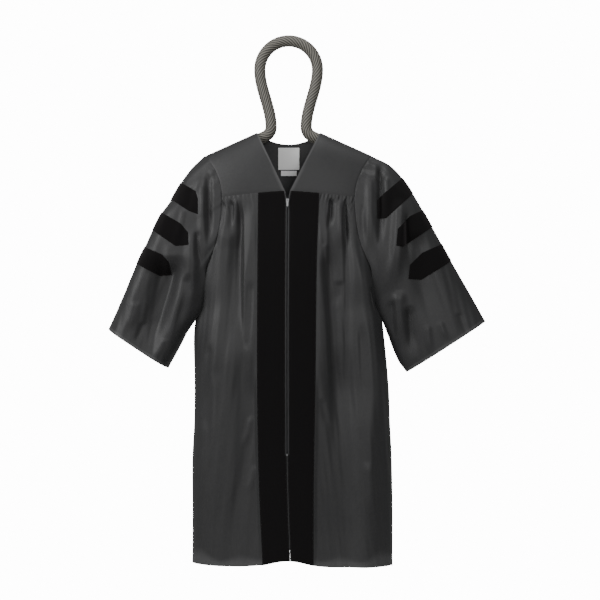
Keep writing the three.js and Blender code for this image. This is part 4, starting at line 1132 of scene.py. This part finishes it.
print("stage: velvet")
velvetOuter = {}
velvetColumns = slice(density["lip"], density["lip"] + density["velvet"] + 1)
for side in ("right", "left"):
    normals, _ = gridNormals(outerFront[side], False)
    strip = outerFront[side][:, velvetColumns]
    directions = normals[:, velvetColumns]
    rise = np.full(strip.shape[:2], velvetCloth["thickness"] + velvetCloth["gap"])
    rise[:, 0] = rise[:, -1] = rise[-1] = velvetCloth["edgeRise"]
    velvetOuter[side] = strip + directions * rise[..., None]
    inner = strip + directions * velvetCloth["gap"]
    addCloth("velvet_facing_" + side, velvetOuter[side], "velvet", velvetCloth, inner=inner)

barSettings = {
    "gap": 0.2, "innerGap": 0.1, "thickness": 1.4, "edgeRound": 1.6, "edgeInset": 0.5, "edgeShare": 0.25,
    "reach": 12, "clothWidth": 60, "straightShare": 0.93,
}

# Each bar's corners, from the sleeve's outer edge round its point and back again
barCorners = {
    "right": [
        [(311, 1100), (267, 1073), (260, 1050), (259.5, 1006), (285, 1015), (340, 1051)],
        [(358, 1008), (309, 979.5), (287, 953), (285.5, 917.5), (323, 914.5), (389, 959.5)],
        [(411.5, 911.5), (362, 891), (342.5, 868.5), (337, 832), (371, 829), (433, 862)],
    ],
    "left": [
        [(327, 1111.5), (267.5, 1060), (255, 1047.5), (255, 994.5), (280, 994.5), (361, 1069)],
        [(386.5, 1020), (348.5, 1001), (312, 963), (308, 915.5), (327, 911.5), (416, 971.5)],
        [(442, 922), (385, 896), (348.5, 861), (344, 820.5), (382.5, 818), (472, 873.5)],
    ],
}


# The planes of a bar's sides, each as a point and its direction out of the bar
def barPlanes(corners, sign):
    points = [np.array([sign * x, z]) for x, z in corners]
    middle = sum(points) / len(points)
    planes = []
    for start, end in zip(points[:-1], points[1:]):
        along = (end - start) / np.linalg.norm(end - start)
        outward = np.array([along[1], -along[0]])
        if np.dot(outward, middle - start) > 0:
            outward = -outward
        planes.append((start, outward))
    return planes


def cutAlong(surface, start, outward, clear):
    everything = surface.verts[:] + surface.edges[:] + surface.faces[:]
    place = (start[0], 0, start[1])
    normal = (outward[0], 0, outward[1])
    bmesh.ops.bisect_plane(surface, geom=everything, plane_co=place, plane_no=normal, clear_outer=clear)


# The part of the sleeve under a bar, cut to its outline and along its rounded edge
def barSurface(side, planes):
    grid = sleeveOuter[side]
    _, turned = gridNormals(grid, True)
    points = grid.reshape(-1, 3)
    faces = gridFaces(*grid.shape[:2], True, 0, turned)
    near = np.ones(len(points), dtype=bool)
    for start, outward in planes:
        near &= (points[:, [0, 2]] - start) @ outward < barSettings["reach"]
    faces = faces[near[faces].all(axis=1)]
    used, renamed = np.unique(faces, return_inverse=True)
    mesh = bpy.data.meshes.new("barSurface")
    mesh.from_pydata(points[used].tolist(), [], renamed.reshape(-1, 4).tolist())
    surface = bmesh.new()
    surface.from_mesh(mesh)
    bpy.data.meshes.remove(mesh)
    for start, outward in planes:
        cutAlong(surface, start, outward, True)
    for inset in (barSettings["edgeInset"], barSettings["edgeRound"]):
        for start, outward in planes:
            cutAlong(surface, start - outward * inset, outward, False)
    bmesh.ops.triangulate(surface, faces=[face for face in surface.faces if len(face.verts) > 4])
    surface.normal_update()
    surface.verts.index_update()
    return surface


def barFaces(surface):
    count = len(surface.verts)
    upper = [[vert.index for vert in face.verts] for face in surface.faces]
    faces = upper + [[index + count for index in reversed(face)] for face in upper]
    for edge in surface.edges:
        if edge.is_boundary:
            loop = edge.link_loops[0]
            first = loop.vert.index
            second = loop.link_loop_next.vert.index
            faces.append([second, first, first + count, second + count])
    return faces


def makeBar(side, number):
    planes = barPlanes(barCorners[side][number - 1], sideSign[side])
    surface = barSurface(side, planes)
    base = np.array([vert.co[:] for vert in surface.verts])
    normals = np.array([vert.normal[:] for vert in surface.verts])
    faces = barFaces(surface)
    area = sum(face.calc_area() for face in surface.faces) * mm * mm
    surface.free()
    away = np.min([-((base[:, [0, 2]] - start) @ outward) for start, outward in planes], axis=0)
    inward = np.clip(away / barSettings["edgeRound"], 0, 1)
    arch = mix(barSettings["edgeShare"], 1, np.sqrt(1 - (1 - inward) ** 2))
    rise = barSettings["gap"] + barSettings["thickness"] * arch
    outer = base + normals * rise[:, None]
    inner = base + normals * barSettings["innerGap"]
    name = "sleeve_bar_%s_%d" % (side, number)
    mesh = meshFrom(name, np.concatenate([outer, inner]), faces)
    piece = addObject(name + "_cloth", mesh, "velvet", replaced=(name,))
    width = barSettings["clothWidth"] * mm
    length = area / width / barSettings["straightShare"]
    declareSheet(name, (length, width), area)


for side in ("right", "left"):
    for number in (1, 2, 3):
        makeBar(side, number)

print("stage: trees that repeat a shape along a line")


def makeTree(name, inputs):
    line = ("Line", "NodeSocketGeometry", None)
    geometry = ("Geometry", "NodeSocketGeometry")
    return makeGroup(name, [line] + inputs, [geometry], "GeometryNodeTree")


def addNode(tree, kind, settings=None, **linked):
    node = tree.nodes.new(kind)
    for label, value in (settings or {}).items():
        setattr(node, label, value)
    for label, value in linked.items():
        feed(tree, node.inputs[label.replace("_", " ")], value)
    return node


def scaleNode(tree, vector, factor):
    node = addNode(tree, "ShaderNodeVectorMath", {"operation": "SCALE"}, Scale=factor)
    tree.links.new(vector, node.inputs[0])
    return node.outputs[0]


def endTree(tree, result, geometry, finish):
    finished = addNode(tree, "GeometryNodeSetMaterial", Geometry=geometry, Material=finish)
    tree.links.new(finished.outputs["Geometry"], result.inputs["Geometry"])


roundedShape = {"Segments": 6, "Rings": 4, "Radius": 0.5}
tubeSides = 42


# Small rounded pieces set out along a line: stitches, and the coils of the zip
def makeRowTree():
    tree, source, result = makeTree("piecesAlongLine", [
        ("Spacing", "NodeSocketFloat", 0.003),
        ("Size", "NodeSocketVector", (0.001, 0.001, 0.001)),
        ("Unevenness", "NodeSocketFloat", 0.1),
        ("Seed", "NodeSocketInt", 1),
        ("Finish", "NodeSocketMaterial", None),
    ])
    out = source.outputs
    points = addNode(tree, "GeometryNodeCurveToPoints", {"mode": "LENGTH"},
                     Curve=out["Line"], Length=out["Spacing"])
    shape = addNode(tree, "GeometryNodeMeshUVSphere", **roundedShape)
    tangent = points.outputs["Tangent"]
    turn = addNode(tree, "FunctionNodeAlignRotationToVector", {"axis": "Z"}, Vector=tangent)
    chance = addNode(tree, "FunctionNodeRandomValue", {"data_type": "FLOAT"}, Seed=out["Seed"])
    for end, operation in ((2, "SUBTRACT"), (3, "ADD")):  # a float's least and largest value
        feed(tree, chance.inputs[end], mathNode(tree, operation, 1.0, out["Unevenness"]))
    size = scaleNode(tree, out["Size"], chance.outputs[1])
    placed = addNode(tree, "GeometryNodeInstanceOnPoints", Points=points.outputs["Points"],
                     Instance=shape.outputs["Mesh"], Rotation=turn.outputs["Rotation"], Scale=size)
    real = addNode(tree, "GeometryNodeRealizeInstances", Geometry=placed.outputs["Instances"])
    soft = addNode(tree, "GeometryNodeSetShadeSmooth", Geometry=real.outputs["Geometry"])
    endTree(tree, result, soft.outputs["Geometry"], out["Finish"])
    return tree


def captureNode(tree, label, geometry, value):
    node = addNode(tree, "GeometryNodeCaptureAttribute", {"domain": "POINT"}, Geometry=geometry)
    node.capture_items.new("FLOAT", label)
    tree.links.new(value, node.inputs[label])
    return node


# A tube round a line, with ribs that wind round it like a rope's strands
def makeTubeTree():
    tree, source, result = makeTree("ribbedTube", [
        ("Radius", "NodeSocketFloat", 0.017),
        ("Ring Spacing", "NodeSocketFloat", 0.0013),
        ("Ribs", "NodeSocketFloat", 14.0),
        ("Turns Per Metre", "NodeSocketFloat", 10.0),
        ("Rib Depth", "NodeSocketFloat", 0.001),
        ("Finish", "NodeSocketMaterial", None),
    ])
    out = source.outputs
    even = addNode(tree, "GeometryNodeResampleCurve", {"mode": "LENGTH"},
                   Curve=out["Line"], Length=out["Ring Spacing"])
    spline = addNode(tree, "GeometryNodeSplineParameter")
    along = captureNode(tree, "Along", even.outputs["Curve"], spline.outputs["Length"])
    profile = addNode(tree, "GeometryNodeCurvePrimitiveCircle", Resolution=tubeSides, Radius=out["Radius"])
    around = captureNode(tree, "Around", profile.outputs["Curve"], spline.outputs["Factor"])
    size = addNode(tree, "GeometryNodeInputRadius")
    tube = addNode(tree, "GeometryNodeCurveToMesh", Curve=along.outputs["Geometry"],
                   Profile_Curve=around.outputs["Geometry"], Scale=size.outputs[0], Fill_Caps=True)
    wound = mathNode(tree, "MULTIPLY", along.outputs["Along"], out["Turns Per Metre"])
    strand = mathNode(tree, "MULTIPLY", around.outputs["Around"], out["Ribs"])
    rib = waveNode(tree, mathNode(tree, "ADD", wound, strand))
    groove = mathNode(tree, "SUBTRACT", rib, 1.0)
    depth = mathNode(tree, "MULTIPLY", groove, out["Rib Depth"])
    normal = addNode(tree, "GeometryNodeInputNormal")
    offset = scaleNode(tree, normal.outputs[0], depth)
    ribbed = addNode(tree, "GeometryNodeSetPosition", Geometry=tube.outputs["Mesh"], Offset=offset)
    soft = addNode(tree, "GeometryNodeSetShadeSmooth", Geometry=ribbed.outputs["Geometry"])
    # The groove is stored for the painted shade in the tube's material
    marked = addNode(tree, "GeometryNodeStoreNamedAttribute", {"data_type": "FLOAT", "domain": "POINT"},
                     Geometry=soft.outputs["Geometry"], Name="grooveShadeMask", Value=groove)
    real = addNode(tree, "GeometryNodeRealizeInstances", Geometry=marked.outputs["Geometry"])
    endTree(tree, result, real.outputs["Geometry"], out["Finish"])
    return tree


rowTree = makeRowTree()
tubeTree = makeTubeTree()


def makeLines(name, lines, radii=None):
    curve = bpy.data.curves.new(name, "CURVE")
    curve.dimensions = "3D"
    for number, line in enumerate(lines):
        places = toMetres(line)
        spline = curve.splines.new("POLY")
        spline.points.add(len(places) - 1)
        spline.points.foreach_set("co", np.concatenate([places, np.ones((len(places), 1))], axis=1).ravel())
        if radii is not None:
            spline.points.foreach_set("radius", radii[number])
    return bpy.data.objects.new(name, curve)


# Runs a tree on lines and gives the plain mesh that comes out
def runTree(name, lines, tree, values, radii=None):
    source = makeLines(name + "Lines", lines, radii)
    bpy.context.scene.collection.objects.link(source)
    modifier = source.modifiers.new("tree", "NODES")
    modifier.node_group = tree
    for item in tree.interface.items_tree:
        if item.item_type == "SOCKET" and item.in_out == "INPUT" and item.name in values:
            modifier[item.identifier] = values[item.name]
    evaluated = source.evaluated_get(bpy.context.evaluated_depsgraph_get())
    mesh = bpy.data.meshes.new_from_object(evaluated)
    mesh.name = name
    source.modifiers.remove(modifier)
    bpy.data.objects.remove(source)
    return mesh


# A line along one edge of a piece, at a distance from it and a little above the cloth
def lineAt(grid, distance, edge, lift, isRound=False):
    away = distanceFrom(grid, edge)
    normals, _ = gridNormals(grid, isRound)
    raised = grid + normals * lift
    order = slice(None) if edge in ("bottom", "first") else slice(None, None, -1)
    if edge in ("bottom", "top"):
        away, raised = away[order].T, raised[order].transpose(1, 0, 2)
    else:
        away, raised = away[:, order], raised[:, order]
    line = np.stack([[np.interp(distance, a, p[:, k]) for k in range(3)] for a, p in zip(away, raised)])
    return np.concatenate([line, line[:1]]) if isRound else line


stitchSettings = {
    "spacing": 3.4, "length": 2.5, "width": 0.42, "unevenness": 0.12, "lift": 0.05,
    "fromEdge": 9.5, "fromVelvet": 2.2,
}
stitchSeeds = {"hem": 3, "cuff": 5, "facing": 11, "label": 17}


def addStitches(name, lines, seed, finish="thread"):
    width = stitchSettings["width"] * mm
    values = {
        "Spacing": stitchSettings["spacing"] * mm,
        "Size": (width, width, stitchSettings["length"] * mm),
        "Unevenness": stitchSettings["unevenness"],
        "Seed": seed,
        "Finish": materials[finish],
    }
    piece = addObject(name, runTree(name, lines, rowTree, values), finish)


print("stage: stitches")
lift = stitchSettings["lift"]
fromEdge = stitchSettings["fromEdge"]
fromVelvet = stitchSettings["fromVelvet"]
hems = [outerFront["right"], outerFront["left"], backDressed]
addStitches("hem_stitches", [lineAt(grid, fromEdge, "bottom", lift) for grid in hems], stitchSeeds["hem"])
cuffs = [lineAt(sleeveOuter[side], fromEdge, "top", lift, True) for side in ("right", "left")]
addStitches("cuff_stitches", cuffs, stitchSeeds["cuff"])
for side in ("right", "left"):
    lines = [lineAt(velvetOuter[side], fromVelvet, edge, lift) for edge in ("first", "last")]
    addStitches("facing_stitches_" + side, lines, stitchSeeds["facing"], "dark_thread")

print("stage: hanger")
hangerSettings = {
    "radius": 17, "belowSeam": 21.5, "tipX": 205, "neckX": 51, "bendRadius": 30,
    "loopRadius": 84, "loopZ": 1430, "ribs": 12, "turnsPerMetre": -85, "ribDepth": 1.8, "ringSpacing": 1.3,
    "domeReach": 0.94, "domeRings": 9, "longSteps": 40, "bendSteps": 24,
}


# Along the arm, round its bend, up the neck and round the loop, then the same mirrored
def hangerLine(settings):
    slope = math.atan2(neckPoint[2] - shoulderPoint[2], shoulderPoint[0] - neckPoint[0])
    turn = math.pi / 2 - slope
    neckX = settings["neckX"]
    bend = settings["bendRadius"]
    loop = settings["loopRadius"]
    steps = settings["longSteps"]

    def armHeight(x):
        return neckPoint[2] - (x - neckPoint[0]) * math.tan(slope) - settings["belowSeam"]

    bendX = neckX + bend * (1 - math.cos(turn))
    bendZ = armHeight(bendX) + bend * math.sin(turn)
    points = [(x, armHeight(x)) for x in np.linspace(settings["tipX"], bendX, steps, endpoint=False)]
    for angle in turn * np.linspace(1, 0, settings["bendSteps"], endpoint=False):
        points.append((neckX + bend * (1 - math.cos(angle)), bendZ - bend * math.sin(angle)))
    for t in np.linspace(0, 1, steps, endpoint=False):
        points.append((mix(neckX, loop, float(smooth(t))), mix(bendZ, settings["loopZ"], t)))
    for angle in np.linspace(0, math.pi / 2, steps):
        points.append((loop * math.cos(angle), settings["loopZ"] + loop * math.sin(angle)))
    line = np.array([(x, 0, z) for x, z in points])
    return np.concatenate([line, line[:-1][::-1] * np.array([-1, 1, 1])])


# The line's even points, with a dome past each end, and the tube's size at each of them
def domedLine(line, settings):
    spacing = settings["ringSpacing"]
    steps = lengthsAlong(line, 0)
    places = np.arange(0, steps[-1], spacing)
    even = np.stack([np.interp(places, steps, line[:, k]) for k in range(3)], axis=-1)
    start = even[0] + (even[0] - even[1]) / spacing * settings["radius"] * settings["domeReach"]
    end = even[-1] + (even[-1] - even[-2]) / spacing * settings["radius"] * settings["domeReach"]
    past = np.linspace(1, 0, settings["domeRings"], endpoint=False)
    head = [mix(even[0], start, t) for t in past]
    tail = [mix(even[-1], end, t) for t in past[::-1]]
    domes = np.sqrt(1 - (settings["domeReach"] * past) ** 2)
    sizes = np.concatenate([domes, np.ones(len(even)), domes[::-1]])
    return np.concatenate([head, even, tail]), sizes


def addHanger(settings):
    line, sizes = domedLine(hangerLine(settings), settings)
    values = {
        "Radius": settings["radius"] * mm,
        "Ring Spacing": settings["ringSpacing"] * mm,
        "Ribs": float(settings["ribs"]),
        "Turns Per Metre": float(settings["turnsPerMetre"]),
        "Rib Depth": settings["ribDepth"] * mm,
        "Finish": materials["hanger_tube"],
    }
    mesh = runTree("hanger_tube", [line], tubeTree, values, [sizes])
    piece = addObject("hanger_tube", mesh, "hanger_tube", replaced=("hanger",))


addHanger(hangerSettings)

print("stage: zip and labels")
coilSettings = {
    "spacing": 1.35, "size": (3.0, 1.3, 1.05), "unevenness": 0.02, "seed": 2,
    "lowZ": 323, "highZ": 1039, "steps": 200, "y": 1.5,
}
tapeSettings = {
    "inner": 1.8, "outer": 14, "lowZ": 312, "highZ": 1060, "y": 1.9, "rows": 240, "columns": 8,
}
tapeCloth = {"thickness": 0.8, "held": "hung"}
edgeLine = frontGrids["left"][:, 0]


# A line down the front opening, behind the panel's edge
def frontEdgeLine(settings, count):
    z = np.linspace(settings["lowZ"], settings["highZ"], count)
    x = readTable(bodySections, "z", "centreShift", z)
    y = np.interp(z, edgeLine[:, 2], edgeLine[:, 1]) + settings["y"]
    return np.stack([x, y, z], axis=-1)


def addCoil(settings):
    values = {
        "Spacing": settings["spacing"] * mm,
        "Size": tuple(size * mm for size in settings["size"]),
        "Unevenness": settings["unevenness"],
        "Seed": settings["seed"],
        "Finish": materials["zip_teeth"],
    }
    mesh = runTree("zip_coil", [frontEdgeLine(settings, settings["steps"])], rowTree, values)
    piece = addObject("zip_coil", mesh, "zip_teeth", replaced=("zip_chain",))


def addTape(side, settings):
    middle = frontEdgeLine(settings, settings["rows"])
    across = np.linspace(settings["inner"], settings["outer"], settings["columns"]) * sideSign[side]
    grid = middle[:, None] + across[None, :, None] * np.array([1, 0, 0])
    inner = grid + np.array([0, tapeCloth["thickness"], 0])
    addCloth("zip_tape_" + side, grid, "zip_tape", tapeCloth, inner=inner)


addCoil(coilSettings)
for side in ("right", "left"):
    addTape(side, tapeSettings)

labelCloth = {"thickness": 0.7, "gap": 0.5, "held": "hung", "rows": 18, "columns": 24}
labels = table("name halfWidth lowZ highZ", [
    ("label_main", 31, 1144, 1208),
    ("label_size", 23, 1126, 1141),
])
labelReach = 30  # of the back yoke's columns, to each side of its middle


# Depth of the back yoke's inner side behind each point of a label
def backYokeInside(x, z):
    grid = backYoke - gridNormals(backYoke, False)[0] * panelCloth["thickness"]
    middle = grid.shape[1] // 2
    columns = [grid[:, k] for k in range(middle - labelReach, middle + labelReach + 1)]
    lineX = [column[density["yoke"] // 2, 0] for column in columns]
    depth = np.stack([np.interp(z, column[:, 2], column[:, 1]) for column in columns], axis=-1)
    return np.stack([np.interp(x, lineX, row) for row in depth])


def addLabel(label):
    z = np.linspace(label["lowZ"], label["highZ"], labelCloth["rows"])
    x = np.linspace(-label["halfWidth"], label["halfWidth"], labelCloth["columns"])
    y = backYokeInside(x, z) - labelCloth["gap"]
    inner = np.stack(np.broadcast_arrays(x[None, :], y, z[:, None]), axis=-1)
    outer = inner - np.array([0, labelCloth["thickness"], 0])
    addCloth(label["name"], outer, "label", labelCloth, inner=inner)
    inset = outer[1:-1, 1:-1] - np.array([0, stitchSettings["lift"], 0])
    edge = np.concatenate([inset[0], inset[1:, -1], inset[-1, -2::-1], inset[-2:0:-1, 0], inset[:1, 0]])
    addStitches(label["name"] + "_stitches", [edge], stitchSeeds["label"], "white_thread")


for label in labels:
    addLabel(label)

for name in ("zip_slider", "zip_pull", "zip_stop"):
    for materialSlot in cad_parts[name].material_slots:
        materialSlot.material = materials["zip_metal"]

print("sheets", json.dumps(sheetSizes))
